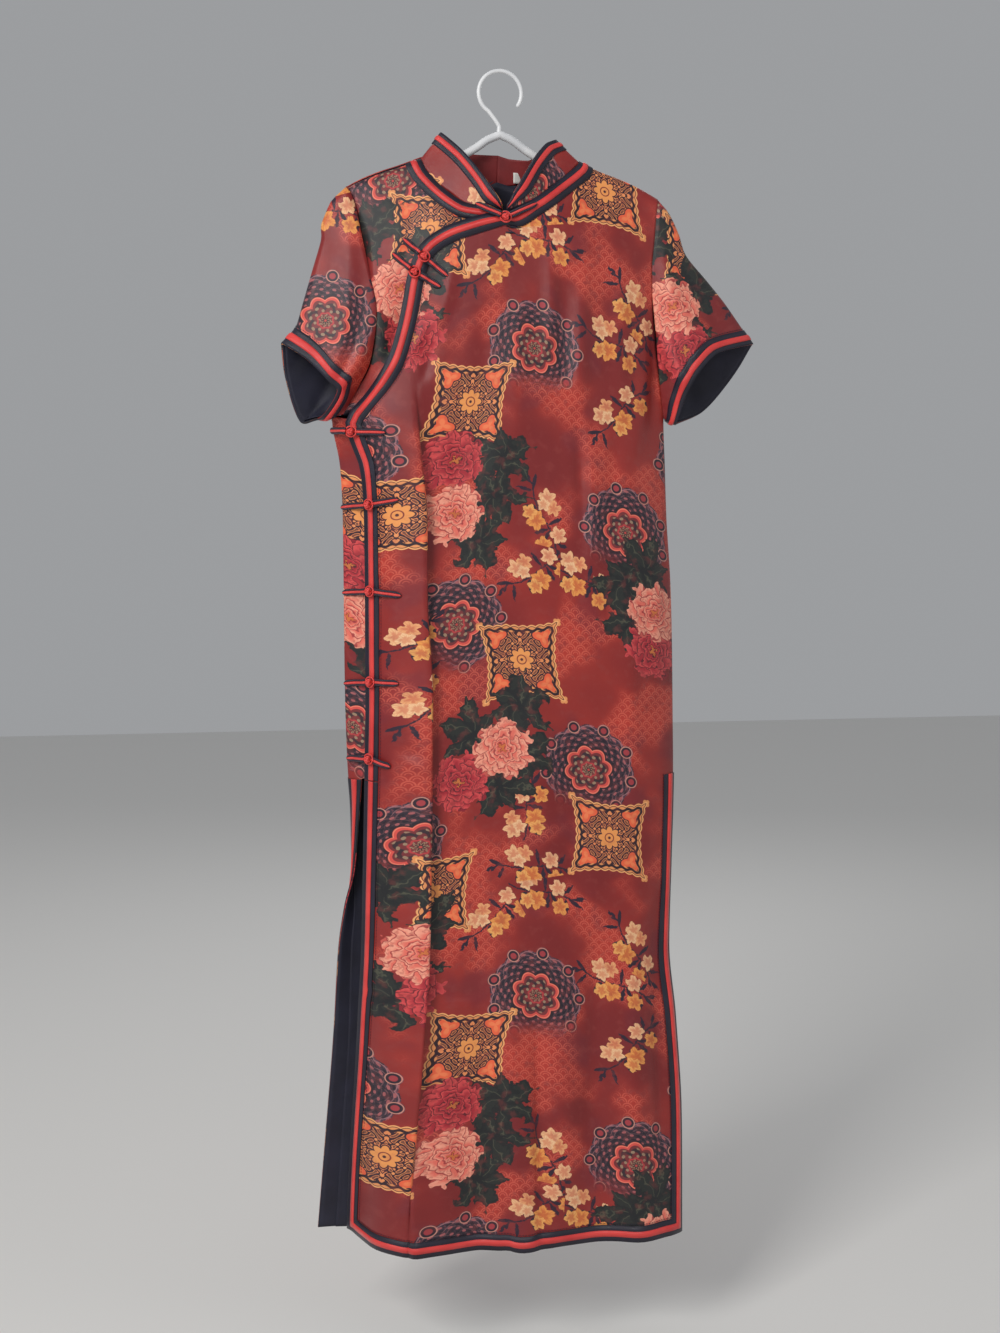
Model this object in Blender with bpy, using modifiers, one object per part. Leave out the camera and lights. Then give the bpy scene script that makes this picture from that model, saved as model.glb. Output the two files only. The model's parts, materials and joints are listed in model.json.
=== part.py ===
"""Cheongsam dress on a plastic hanger, as cut and sewn cloth panels with real walls.

Axes: X to the right of someone facing the dress, the front faces -Y, Z up.
Origin: the inside top of the hanger's hook. Tables are in millimetres, and "drop" is
the distance below the hook, so z = -drop.
"""
import math

import bmesh
import bpy
import numpy as np
from mathutils import Vector

MM = 0.001

# Driving sizes, in millimetres.
CLOTH = 1.4            # wall of the satin panels, with their backing
LINING = 1.0           # wall of the loose lining
SEAM_GAP = 1.5         # between the outer faces of two sewn pieces, whose walls lean together
COLLAR_GAP = 1.2       # between the collar and the neckline, twice that behind the neck
ARMHOLE_GAP = 1.8      # between a sleeve and the body's armhole
SIDE_GAP = 1.8         # the same at the side seam, where the cloth turns
TRIM_WIDTH = 19.0      # navy, red and navy together
TRIM_GAP = 0.4         # between layers of trim
LINING_GAP = 1.3       # between the sleeve's cloth and its lining
FROG_GAP = 0.9         # between the trim and a frog, or the two halves of a frog
TRIM_WALL = 1.0
RED_START = 5.5        # the red piping begins this far in from the edge
RED_END = 12.5
SHOULDER_RADIUS = 10.0
SHOULDER_EASE = 95.0   # drop over which the chest reaches its full depth
HALF_WIDTH = 200.0     # station of the side seams, measured across the cloth
LAP_STATION = 262.0    # the back reaches this far round, under the closing edge
SLIT_STATION = 225.0   # the back's own edge below the slit
SLIT_TOP = 797.0
HEM_DROP = 1342.0
UNDERARM = 383.0
ARM_TUBE = 4.5
HOOK_WIRE = 2.3
HOOK_RADIUS = 24.3

# The shoulder seam: drop of the seam at each distance from the middle.
SHOULDER = {
    "across": (0, 92, 115, 137, 160, 183, 200, 230),
    "drop": (62, 96, 105, 112.5, 122, 134.5, 146, 170),
}

# The armholes: x of the armhole seam at each drop.
ARMHOLE_LEFT = {
    "drop": (130, 150, 194, 226, 269, 320, 355, 383),
    "x": (-174, -166, -157, -151, -144, -150, -165, -181),
}
ARMHOLE_RIGHT = {
    "drop": (134, 150, 182, 217, 294, 345, 383),
    "x": (183, 180, 177, 173, 180, 186, 191),
}

# The front in section, a row for each drop. edge is the closing edge, swell the round
# stretch beside it, lip the ridge of the long overhanging fold, fold how far that fold
# has formed, and the y columns the depth of the plain front from left to right.
FRONT_COLUMNS = ("drop", "edge_x", "edge_y", "swell_y", "lip_x", "lip_y", "fold",
                 "y_65", "y_25", "y_mid", "y_r65", "y_r110", "y_r150", "y_side", "seam_x", "seam_y")
FRONT_LEVELS = (
    (96, -170, -12, -24, -103, -34, 0, -33, -36, -37, -33, -27, -20, -11, 200, -6),
    (200, -170, -10, -26, -103, -38, 0, -40, -42, -42, -40, -33, -24, -12, 200, -6),
    (285, -172, -12, -30, -103, -41, 0.0, -42, -44, -44, -41, -36, -27, -13, 198, -5),
    (340, -176, -14, -34, -101, -44, 0.2, -41, -44, -45, -42, -38, -29, -12, 194, -3),
    (385, -178, -16, -38, -98, -48, 0.55, -39, -43, -45, -42, -39, -31, -13, 191, -2),
    (440, -160, -15, -38, -96, -51, 0.9, -38, -42, -44, -42, -40, -33, -15, 193, -3),
    (500, -157, -10, -36, -92, -52, 1, -38, -41, -43, -43, -41, -34, -17, 196, -3),
    (590, -156, -7, -35, -92, -53, 1, -39, -42, -43, -43, -42, -36, -19, 202, -3),
    (690, -156, -5, -34, -87, -54, 1, -40, -42, -44, -43, -42, -37, -20, 205, -3),
    (780, -158, -5, -34, -88, -55, 1, -41, -43, -45, -44, -42, -37, -20, 206, -3),
    (900, -160, 0, -34, -90, -57, 1, -43, -45, -46, -45, -43, -38, -20, 204, -2),
    (1000, -162, 5, -32, -92, -59, 1, -44, -47, -49, -47, -45, -40, -22, 202, -4),
    (1090, -166, 14, -30, -99, -62, 1, -46, -49, -53, -49, -47, -44, -28, 210, -10),
    (1200, -170, 25, -27, -105, -64, 0.8, -48, -49, -58, -51, -50, -51, -37, 215, -20),
    (1342, -175, 40, -22, -119, -66, 0.35, -54, -49, -65, -54, -53, -64, -52, 212, -36),
)
FRONT_STATIONS = (-230, -170, -143, -115, -107, -94, -86, -65, -25, 25, 65, 110, 150, 183, 200, 230)
ROUND_THE_SEAM = (10.0, 14.0)      # how the cloth turns towards the back beyond the side seam
FOLD_TURN = (7.0, 10.0, 13.5)     # depth of the fold's back, tuck and way out, behind its lip
FOLD_SHIFT = (1.0, 9.0, -1.0)     # how far each lies to the left of the lip

# The back in section. turn, side and edge are the left bend, the outermost line and the
# free edge, which wraps under the front above the slit and lies open below it.
BACK_COLUMNS = ("drop", "y_seam", "y_turn_r", "y_130", "y_65", "y_mid", "y_l65", "y_l130",
                "turn_x", "turn_y", "side_x", "side_y", "edge_x", "edge_y")
BACK_LEVELS = (
    (96, 6, 11, 20, 25, 27, 25, 20, -170, 12, -200, 6, -225, 4),
    (200, 6, 13, 22, 26, 28, 26, 22, -170, 14, -200, 6, -225, 4),
    (300, 5, 14, 22, 27, 29, 27, 23, -170, 15, -200, 7, -225, 4),
    (380, 3, 15, 23, 28, 30, 28, 24, -172, 16, -194, 5, -225, 2),
    (386, 3, 15, 23, 28, 30, 28, 24, -173, 21, -192, 8, -174, -12),
    (400, 3, 15, 23, 28, 30, 28, 24, -172, 21, -190, 8, -172, -11),
    (440, 3, 16, 24, 28, 30, 28, 24, -166, 24, -182, 10, -160, -9),
    (500, 3, 17, 25, 29, 30, 29, 25, -164, 26, -179, 13, -157, -5),
    (690, 3, 18, 26, 30, 32, 30, 27, -163, 28, -178, 15, -157, -1),
    (780, 3, 19, 27, 31, 33, 31, 28, -161, 28, -176, 14, -160, 0),
    (830, 4, 20, 28, 32, 34, 33, 30, -158, 30, -172, 18, -163, 5),
    (905, 5, 22, 29, 33, 35, 34, 32, -150, 35, -169, 31, -169, 17),
    (950, 6, 23, 30, 34, 36, 36, 34, -148, 37, -167, 37, -179, 27),
    (1000, 6, 24, 31, 35, 37, 37, 35, -150, 40, -170, 40, -186, 33),
    (1100, 7, 26, 32, 36, 38, 39, 38, -155, 42, -173, 43, -192, 40),
    (1235, 9, 30, 35, 38, 40, 42, 41, -160, 44, -182, 47, -203, 45),
    (1342, 12, 34, 38, 40, 42, 44, 43, -165, 46, -189, 50, -212, 50),
)
BACK_STATIONS = (-230, -200, -180, -130, -65, 0, 65, 130, 172, 204, 225, 262)

# Rows of the front down to the underarm: the left end runs down the neckline and the
# curved opening, and the right end down the armhole.
FRONT_ROWS = (
    (90, 96, 134), (88.5, 98.5, 137.5), (82, 105, 144), (62, 121, 154), (32, 143, 168),
    (0, 157, 180), (-30, 163, 190), (-60, 173, 200), (-81, 184, 210), (-96, 197, 222),
    (-105, 214, 237), (-111, 235, 254), (-115, 258, 274), (-121, 285, 296), (-130, 315, 322),
    (-143, 340, 344), (-159, 363, 363), (-172, 378, 383), (-178, 391, 392), (-175, 406, 406),
    (-168, 425, 425), (-160, 456, 456),
)
# Below that the rows are level, and the last ones carry the trim of the hem.
TRIM_LINES = (0.0, RED_START, RED_END, TRIM_WIDTH)
LEVEL_ROWS = (505, 590, 690, 745, SLIT_TOP - 1, SLIT_TOP, 870, 950, 1030, 1120, 1220) + tuple(
    HEM_DROP - line for line in reversed(TRIM_LINES))
FRONT_INSIDE = (0.055, 0.105, 0.13, 0.155, 0.175, 0.2, 0.26, 0.36, 0.47, 0.58, 0.69, 0.8, 0.9)

# Rows of the under-flap: drop on the armhole, then x and drop of the other end, which
# runs down the neckline and back under the opening.
FLAP_ROWS = (
    (130, -92, 96), (134, -90.5, 99), (141, -87, 108), (152, -74, 125), (166, -46, 146),
    (180, -12, 156), (196, -8, 186), (215, -45, 204), (238, -74, 226), (265, -86, 262),
    (296, -98, 300), (328, -116, 330), (356, -130, 357), (UNDERARM - 1, -143, UNDERARM - 1),
)
FLAP_INSIDE = (0.15, 0.4, 0.65, 0.85)

BACK_NECKLINE = {"across": (0, 35, 65, 92), "drop": (121, 117, 107, 96)}
BACK_TOP_ROWS = (0, 0.012, 0.04, 0.10, 0.20, 0.35, 0.52, 0.70, 0.86, 1)
BACK_TOP_INSIDE = (0.11, 0.2257, 0.34, 0.45, 0.56, 0.68, 0.8025, 0.87, 0.935)   # two meet the neck points
BACK_LOW_INSIDE = (0.13, 0.26, 0.40, 0.54, 0.68, 0.79, 0.86, 0.91, 0.955)
LAP = {"drop": (383, 388, 405, 430, 745, SLIT_TOP - 1),
       "station": (215, 225, 245, LAP_STATION, LAP_STATION, SLIT_STATION)}

# Collar: a row for each station from the centre front round to the centre back: base_x,
# where it stands on the neckline, then top_x, top_y and top_drop of its top edge.
COLLAR_LEFT = (
    (-3, -6, -42, 151), (-12, -8, -42, 146), (-28, -14, -40, 136), (-46, -25, -34, 119),
    (-60, -35, -27, 104), (-74, -46, -20, 90), (-87, -58, -10, 77), (-92, -67, 0, 68),
    (-62.5, -46, 12, 83), (-37, -26, 15, 88), (-8.3, -7, 16, 88), (-0.4, -0.4, 16, 88),
)
COLLAR_RIGHT = (
    (1, 1, -42, 152), (9, 4, -41, 147), (20, 9, -38, 137), (32, 17, -34, 124),
    (47, 27, -27, 108), (62, 37, -21, 93), (82, 52, -9, 77), (90, 64, 0, 72),
    (49.2, 35, 13, 93), (20.5, 16, 15, 92), (0.4, 0.4, 16, 88),
)

# Sleeves: how far the top line swells outwards on its way to the cuff, then the cuff's
# edge, a row for each bearing round it from the top through the front.
SLEEVE_TOP_LEFT = {"along": (0, 0.12, 0.23, 0.34, 0.52, 0.75, 0.9, 1),
                   "out": (0, 11, 11, 4, 0, -5, -8, 0)}
SLEEVE_TOP_RIGHT = {"along": (0, 0.08, 0.22, 0.39, 0.56, 0.74, 1),
                    "out": (0, 3, -1, -10, -5, -1, 0)}
CUFF_LEFT = (
    (0, -247, 0, 304), (55, -222, -22, 322), (95, -199, -32, 346), (140, -188, -30, 358),
    (180, -206, -4, 386), (230, -223, 22, 391), (300, -244, 15, 332),
)
CUFF_RIGHT = (
    (0, 299, 0, 297), (65, 252, -20, 309), (105, 227, -28, 332), (145, 212, -22, 362),
    (180, 206, -4, 390), (225, 240, 22, 378), (262, 264, 23, 356), (310, 285, 12, 325),
)
SLEEVE_RINGS = (0, 0.09, 0.23, 0.42, 0.7)   # shares of the way to the inner line of the trim
SLEEVE_SIDES = 16

# Frogs, knot first: the knot, the tip on the front, the tip on the other side, and the
# piece that the other side lies on. x and drop in each pair.
FROGS = (
    ("frog_neck", (-2, 166), (34, 150), (-34, 152), "trim"),
    ("frog_chest_upper", (-92, 210), (-66, 231), (-114, 190), "flap"),
    ("frog_chest_lower", (-102, 227), (-74, 243), (-126, 206), "flap"),
    ("frog_underarm", (-170, 401), (-136, 403), (-190, 399), "back"),
    ("frog_side_1", (-149, 482), (-122, 477), (-181, 486), "back"),
    ("frog_side_2", (-148, 580), (-119, 584), (-180, 583), "back"),
    ("frog_side_3", (-148, 683), (-122, 683), (-179, 687), "back"),
    ("frog_side_4", (-150, 771), (-131, 778), (-177, 773), "back"),
)
FROG_WIDTH = 8.0
FROG_HEIGHT = 2.4
KNOT_RADIUS = 4.4
LOOP_RADIUS = 6.2
LOOP_CORD = 0.8

COLOURS = {
    "satin": ((0.40, 0.055, 0.045, 1), 0.42),
    "lining": ((0.03, 0.03, 0.065, 1), 0.6),
    "navy": ((0.025, 0.02, 0.045, 1), 0.45),
    "red": ((0.75, 0.09, 0.09, 1), 0.4),
    "label": ((0.85, 0.84, 0.8, 1), 0.7),
    "plastic": ((0.75, 0.76, 0.78, 1), 0.35),
}


def smooth(knots, values, at):
    """A smooth curve through the values that never overshoots them."""
    knots = np.asarray(knots, float)
    values = np.asarray(values, float)
    at = np.asarray(at, float)
    step = np.diff(knots)
    slope = np.diff(values) / step
    tangent = np.zeros_like(values)
    product = slope[:-1] * slope[1:]
    total = slope[:-1] + slope[1:]
    total[product <= 0] = 1
    tangent[1:-1] = np.where(product > 0, 2 * product / total, 0)
    tangent[0] = slope[0]
    tangent[-1] = slope[-1]
    index = np.clip(np.searchsorted(knots, at, side="right") - 1, 0, len(knots) - 2)
    run = step[index]
    part = np.clip((at - knots[index]) / run, 0, 1)
    square = part * part
    cube = square * part
    return (values[index] * (2 * cube - 3 * square + 1) + values[index + 1] * (3 * square - 2 * cube)
            + run * (tangent[index] * (cube - 2 * square + part) + tangent[index + 1] * (cube - square)))


def across(stations, columns, at):
    """Smooth curve across the stations of one section, with its values in columns."""
    stations = np.asarray(stations, float)
    columns = [np.asarray(column, float) for column in columns]
    index = np.clip(np.searchsorted(stations, at, side="right") - 1, 0, len(stations) - 2)
    grid = np.stack([np.broadcast_to(column, at.shape) for column in columns])

    def pick(k):
        return np.take_along_axis(grid, np.clip(k, 0, len(stations) - 1)[None], 0)[0]

    low, high = pick(index), pick(index + 1)
    before, after = pick(index - 1), pick(index + 2)
    here, there = stations[index], stations[index + 1]
    run = there - here
    previous = stations[np.clip(index - 1, 0, None)]
    following = stations[np.clip(index + 2, None, len(stations) - 1)]
    start = (high - before) / (there - previous)
    finish = (after - low) / (following - here)
    part = np.clip((at - here) / run, 0, 1)
    square = part * part
    cube = square * part
    return (low * (2 * cube - 3 * square + 1) + high * (3 * square - 2 * cube)
            + run * (start * (cube - 2 * square + part) + finish * (cube - square)))


def column(levels, names, name, drop):
    """One named column of a section table, read smoothly at any drop."""
    place = names.index(name)
    return smooth([row[0] for row in levels], [row[place] for row in levels], drop)


def seam_drop(station):
    """Drop of the shoulder seam above a station: high up, stations are x itself."""
    return smooth(SHOULDER["across"], SHOULDER["drop"], np.abs(station))


def shoulder_share(below):
    """Depth at the shoulder: a quarter circle over the hanger, then an ease to the chest."""
    quarter = np.clip(below / SHOULDER_RADIUS, 0, 1)
    round_part = SHOULDER_RADIUS * np.sqrt(np.clip(1 - (1 - quarter) ** 2, 0, 1))
    ease = np.clip((below - SHOULDER_RADIUS) / SHOULDER_EASE, 0, 1)
    return round_part, np.sin(ease * math.pi / 2)


def shoulder_depth(depth, below):
    """Turns a full depth into the depth just below the shoulder seam."""
    round_part, ease = shoulder_share(below)
    return np.sign(depth) * (SEAM_GAP / 2 + np.minimum(round_part, np.abs(depth))
                             + np.maximum(np.abs(depth) - SHOULDER_RADIUS, 0) * ease)


def below_from_run(run):
    """Drop below the seam after a run of cloth over the rounded shoulder."""
    bend = SHOULDER_RADIUS * math.pi / 2
    angle = np.clip(run / SHOULDER_RADIUS, 0, math.pi / 2)
    return SHOULDER_RADIUS * (1 - np.cos(angle)) + np.maximum(run - bend, 0)


def run_from_below(below):
    """The reverse of below_from_run."""
    part = np.clip(1 - below / SHOULDER_RADIUS, -1, 1)
    bend = SHOULDER_RADIUS * np.arccos(np.clip(part, 0, 1))
    return bend + np.maximum(below - SHOULDER_RADIUS, 0)


def front_section(station, drop, folded=True):
    """x and full depth of the front at a station across the cloth and a drop."""
    read = {name: column(FRONT_LEVELS, FRONT_COLUMNS, name, drop) for name in FRONT_COLUMNS[1:]}
    fold = read["fold"] if folded else np.zeros_like(read["fold"])
    ratio = read["seam_x"] / HALF_WIDTH
    lip_x, lip_y = read["lip_x"], read["lip_y"]
    left = read["edge_x"]
    bent_x = [left - 60, left, left + 0.42 * (lip_x - left), lip_x, lip_x - FOLD_SHIFT[0],
              lip_x - FOLD_SHIFT[1], lip_x - FOLD_SHIFT[2]]
    bent_y = [read["edge_y"] + 20, read["edge_y"], read["swell_y"], lip_y, lip_y + FOLD_TURN[0],
              lip_y + FOLD_TURN[1], lip_y + FOLD_TURN[2]]
    plain_y = [read["edge_y"] + 8, read["edge_y"], read["swell_y"], read["swell_y"] * 0.5 + lip_y * 0.5,
               read["swell_y"] * 0.35 + lip_y * 0.65, lip_y * 0.95, lip_y * 0.97]
    xs, ys = [], []
    for place, mark in enumerate(FRONT_STATIONS):
        if place < 7:
            xs.append(mark * ratio * (1 - fold) + bent_x[place] * fold)
            ys.append(plain_y[place] * (1 - fold) + bent_y[place] * fold)
        else:
            xs.append(mark * ratio)
    ys += [read[name] for name in ("y_65", "y_25", "y_mid", "y_r65", "y_r110", "y_r150", "y_side", "seam_y")]
    xs[-1] = read["seam_x"] - ROUND_THE_SEAM[0]
    ys.append(read["seam_y"] + ROUND_THE_SEAM[1])
    return across(FRONT_STATIONS, xs, station), across(FRONT_STATIONS, ys, station)


def back_section(station, drop):
    """x and full depth of the back, from the right seam round to its free edge."""
    read = {name: column(BACK_LEVELS, BACK_COLUMNS, name, drop) for name in BACK_COLUMNS[1:]}
    seam_x = column(FRONT_LEVELS, FRONT_COLUMNS, "seam_x", drop)
    seam_y = column(FRONT_LEVELS, FRONT_COLUMNS, "seam_y", drop)
    ratio = seam_x / HALF_WIDTH
    ends_y = np.where(drop < UNDERARM, read["y_seam"], seam_y + SIDE_GAP + read["y_seam"] - 3)
    xs = [seam_x - ROUND_THE_SEAM[0], seam_x, 180 * ratio, 130 * ratio, 65 * ratio, 0 * ratio, -65 * ratio,
          -130 * ratio, read["turn_x"], read["side_x"], read["edge_x"]]
    ys = [ends_y - ROUND_THE_SEAM[1], ends_y, read["y_turn_r"], read["y_130"], read["y_65"], read["y_mid"],
          read["y_l65"], read["y_l130"], read["turn_y"], read["side_y"], read["edge_y"]]
    lap_x, lap_y = front_section(np.full_like(drop, -147.0), drop)
    wrapped = np.clip((drop - 380) / 8, 0, 1) * np.clip((SLIT_TOP + 10 - drop) / 10, 0, 1)
    beyond = (LAP_STATION - SLIT_STATION) / 21
    open_x = read["edge_x"] + (read["edge_x"] - read["side_x"]) * beyond
    open_y = read["edge_y"] + (read["edge_y"] - read["side_y"]) * beyond
    xs.append((lap_x + 2) * wrapped + open_x * (1 - wrapped))
    ys.append((lap_y + 5) * wrapped + open_y * (1 - wrapped))
    return across(BACK_STATIONS, xs, station), across(BACK_STATIONS, ys, station)


def sheet_point(section, station, run, **options):
    """Point on a panel: station across the cloth and run of cloth down from the seam line."""
    below = below_from_run(run)
    drop = seam_drop(station) + below
    x, depth = section(station, drop, **options)
    return np.stack([x, shoulder_depth(depth, below), -drop], -1)


def to_run(station, drop):
    """Run of cloth down to a drop, at a station."""
    return run_from_below(np.maximum(drop - seam_drop(station), 0))


def outward(surface, u, v):
    """Unit normals of a surface whose u runs to the viewer's right and v down."""
    reach = 1.0
    side = surface(u + reach, v) - surface(u - reach, v)
    down = surface(u, v + reach) - surface(u, np.maximum(v - reach, 0))
    normal = np.cross(down, side)
    return normal / np.maximum(np.linalg.norm(normal, axis=-1, keepdims=True), 1e-9)


def front_surface(u, v):
    return sheet_point(front_section, u, v)


def plain_surface(u, v):
    """The front without its long fold, which is how the pieces behind it lie."""
    return sheet_point(front_section, u, v, folded=False)


def back_surface(u, v):
    return sheet_point(back_section, u, v)


def station_at(section, x, drop, low, high, **options):
    """Station whose x at this drop is the one given, found by halving."""
    rising = section(np.array([high]), np.array([drop]), **options)[0] > section(
        np.array([low]), np.array([drop]), **options)[0]
    for _ in range(30):
        middle = (low + high) / 2
        value = section(np.array([middle]), np.array([drop]), **options)[0][0]
        if (value < x) == bool(rising[0]):
            low = middle
        else:
            high = middle
    return (low + high) / 2


def front_station(x, drop):
    """Station of a point on the front, to the left of the fold's lip where it is folded."""
    folded = column(FRONT_LEVELS, FRONT_COLUMNS, "fold", np.array([float(drop)]))[0] > 0
    return station_at(front_section, x, drop, -229.0, -118.0 if folded and x < 0 else HALF_WIDTH)


def inset_line(surface, line, distance):
    """Moves a line of (u, v) sideways over a surface by a true distance."""
    line = np.array(line, float)
    steps = 4
    for _ in range(steps):
        u, v = line[:, 0], line[:, 1]
        points = surface(u, v)
        tangent = np.gradient(points, axis=0)
        tangent /= np.maximum(np.linalg.norm(tangent, axis=1, keepdims=True), 1e-9)
        normal = outward(surface, u, v)
        aim = np.cross(normal, tangent) * (distance / steps)
        side = (surface(u + 1, v) - surface(u - 1, v)) / 2
        down = surface(u, v + 1) - surface(u, np.maximum(v - 1, 0))
        down /= np.where(v < 1, 1 + v, 2)[:, None]
        for row in range(len(line)):
            frame = np.stack([side[row], down[row]], 1)
            shift = np.linalg.lstsq(frame, aim[row], rcond=None)[0]
            line[row] += shift
        line[:, 1] = np.maximum(line[:, 1], 0)
    return line


def rows_between(left_lines, right_lines, inside):
    """Grid of (station, run): lines of the left edge, a spread between, lines of the right edge."""
    rows = []
    for starts, ends in zip(zip(*left_lines), zip(*right_lines)):
        middle = [blend_on_panel(starts[-1], ends[0], share) for share in inside]
        rows.append(list(starts) + middle + list(ends))
    return np.array(rows, float)


def blend_on_panel(begin, finish, share):
    """Between two (station, run): follows the shoulder near it, and level rows below."""
    station = begin[0] + (finish[0] - begin[0]) * share
    along = begin[1] + (finish[1] - begin[1]) * share
    first, last = (seam_drop(mark) + below_from_run(run) for mark, run in (begin, finish))
    flat = to_run(station, first + (last - first) * share)
    weight = np.clip((min(begin[1], finish[1]) - 12) / 40, 0, 1)
    return (station, along * (1 - weight) + flat * weight)


def mesh_normals(points, closed=False):
    """Unit normals at a grid's points, from the cells round each of them."""
    ring = np.concatenate([points, points[:, :1]], 1) if closed else points
    cells = np.cross(ring[1:, 1:] - ring[:-1, :-1], ring[:-1, 1:] - ring[1:, :-1])
    cells /= np.maximum(np.linalg.norm(cells, axis=-1, keepdims=True), 1e-9)
    if closed:
        cells = np.concatenate([cells[:, -1:], cells], 1)
    else:
        cells = np.concatenate([cells[:, :1], cells, cells[:, -1:]], 1)
    cells = np.concatenate([cells[:1], cells, cells[-1:]], 0)
    normal = cells[1:, 1:] + cells[:-1, 1:] + cells[1:, :-1] + cells[:-1, :-1]
    return normal / np.maximum(np.linalg.norm(normal, axis=-1, keepdims=True), 1e-9)


def moved_out(points, out, closed=False):
    """A grid of points moved out along its own normals."""
    return points + mesh_normals(points, closed) * out


def make_object(name, vertices, faces, colour, thickness=None):
    """Mesh object in metres, with a wall grown inwards when a thickness is given."""
    mesh = bpy.data.meshes.new(name)
    mesh.from_pydata([tuple(point * MM) for point in vertices], [], faces)
    mesh.materials.append(MATERIALS[colour])
    mesh.update()
    piece = bpy.data.objects.new(name, mesh)
    DRESS.objects.link(piece)
    if thickness:
        wall = piece.modifiers.new("wall", "SOLIDIFY")
        wall.thickness = thickness * MM
        wall.offset = -1
        wall.use_even_offset = False
        wall.use_quality_normals = True
    return piece


def grid_mesh(points, keep=None, closed=False):
    """Triangles of a grid of points, always split the same way; keep picks cells."""
    rows, columns = points.shape[:2]
    faces = []
    last = columns if closed else columns - 1
    for i in range(rows - 1):
        for j in range(last):
            if keep is not None and not keep(i, j):
                continue
            k = (j + 1) % columns
            a, b = i * columns + j, i * columns + k
            c, d = (i + 1) * columns + k, (i + 1) * columns + j
            faces.append((a, d, c))
            faces.append((a, c, b))
    used = sorted({index for face in faces for index in face})
    place = {index: count for count, index in enumerate(used)}
    flat = points.reshape(-1, 3)
    return [flat[index] for index in used], [tuple(place[index] for index in face) for face in faces]


def sheet(name, points, colour, thickness, keep=None, closed=False):
    vertices, faces = grid_mesh(points, keep, closed)
    return make_object(name, vertices, faces, colour, thickness)


def trim(name, points, band_cells, piping_cells):
    """A navy band over some cells of a panel, and the red piping over the middle ones."""
    lift = TRIM_GAP + TRIM_WALL
    sheet(name + "_band", moved_out(points, lift), "navy", TRIM_WALL, band_cells)
    sheet(name + "_piping", moved_out(points, 2 * lift + 0.2), "red", TRIM_WALL, piping_cells)


def skirt_cells(slit, rows, columns, first, last):
    """Picks cells down one slit, along the hem and up the other, from one line to another."""
    def pick(i, j):
        near_hem = rows - 2 - i
        near_side = min(j, columns - 2 - j)
        nearest = min(near_hem, near_side)
        return i >= slit and first <= nearest <= last
    return pick


def front_grid():
    left, right = [], []
    for left_x, left_drop, right_drop in FRONT_ROWS:
        station = front_station(left_x, left_drop)
        run = to_run(station, float(left_drop))
        left.append((station, run))
        arm_x = float(smooth(ARMHOLE_RIGHT["drop"], ARMHOLE_RIGHT["x"], right_drop))
        if right_drop >= UNDERARM:
            end = HALF_WIDTH
        else:
            end = station_at(front_section, arm_x, right_drop, 60.0, HALF_WIDTH)
        right.append((end, to_run(end, float(right_drop))))
    for drop in LEVEL_ROWS:
        for ends, station in ((left, -170.0), (right, HALF_WIDTH)):
            ends.append((station, to_run(station, float(drop))))
    left[0] = (left[0][0], 0.0)
    right[0] = (right[0][0], 0.0)
    left_lines = [left] + [inset_line(front_surface, left, line) for line in TRIM_LINES[1:]]
    right_lines = [right] + [inset_line(front_surface, right, -line) for line in TRIM_LINES[1:]]
    return rows_between(left_lines, right_lines[::-1], FRONT_INSIDE)


def flap_grid():
    left, right = [], []
    for arm_drop, right_x, right_drop in FLAP_ROWS:
        arm_x = float(smooth(ARMHOLE_LEFT["drop"], ARMHOLE_LEFT["x"], arm_drop))
        for ends, x, drop in ((left, arm_x, arm_drop), (right, right_x, right_drop)):
            station = station_at(front_section, x, drop, -229.0, HALF_WIDTH, folded=False)
            run = to_run(station, float(drop))
            ends.append((station, run))
    left[0] = (left[0][0], 0.0)
    right[0] = (right[0][0], 0.0)
    right_lines = [right] + [inset_line(plain_surface, right, -line) for line in TRIM_LINES[1:]]
    return rows_between([left], right_lines[::-1], FLAP_INSIDE)


def flap_out(u, v):
    """How far the flap lies behind the front: deeper at the middle and under the fold."""
    middle = np.clip((u + 80) / 30, 0, 1) * 4.0
    under_fold = np.clip((v - 130) / 60, 0, 1) * np.clip((u + 150) / 30, 0, 1) * 8.0
    return -2.4 - np.maximum(middle, under_fold)


def flap_surface(u, v):
    """The flap's own outer face."""
    return plain_surface(u, v) + outward(plain_surface, u, v) * flap_out(u, v)[..., None]


def back_edge(drop):
    if drop < UNDERARM:
        arm_x = float(smooth(ARMHOLE_LEFT["drop"], ARMHOLE_LEFT["x"], drop))
        return station_at(back_section, arm_x, drop, 60.0, 229.0)
    if drop < SLIT_TOP:
        return float(smooth(LAP["drop"], LAP["station"], drop))
    return SLIT_STATION


def back_top_drop(x):
    """The back's upper edge: shoulder seams, with the neckline between them."""
    if abs(x) >= BACK_NECKLINE["across"][-1]:
        return float(seam_drop(x))
    return float(smooth(BACK_NECKLINE["across"], BACK_NECKLINE["drop"], abs(x)))


def back_marks(right, left, inside):
    """Marks across the back: the trim's lines at each side and a spread between them."""
    marks = [right + line for line in TRIM_LINES]
    begin, finish = right + TRIM_WIDTH, left - TRIM_WIDTH
    marks += [begin + (finish - begin) * share for share in inside]
    return marks + [left - line for line in reversed(TRIM_LINES)]


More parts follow.
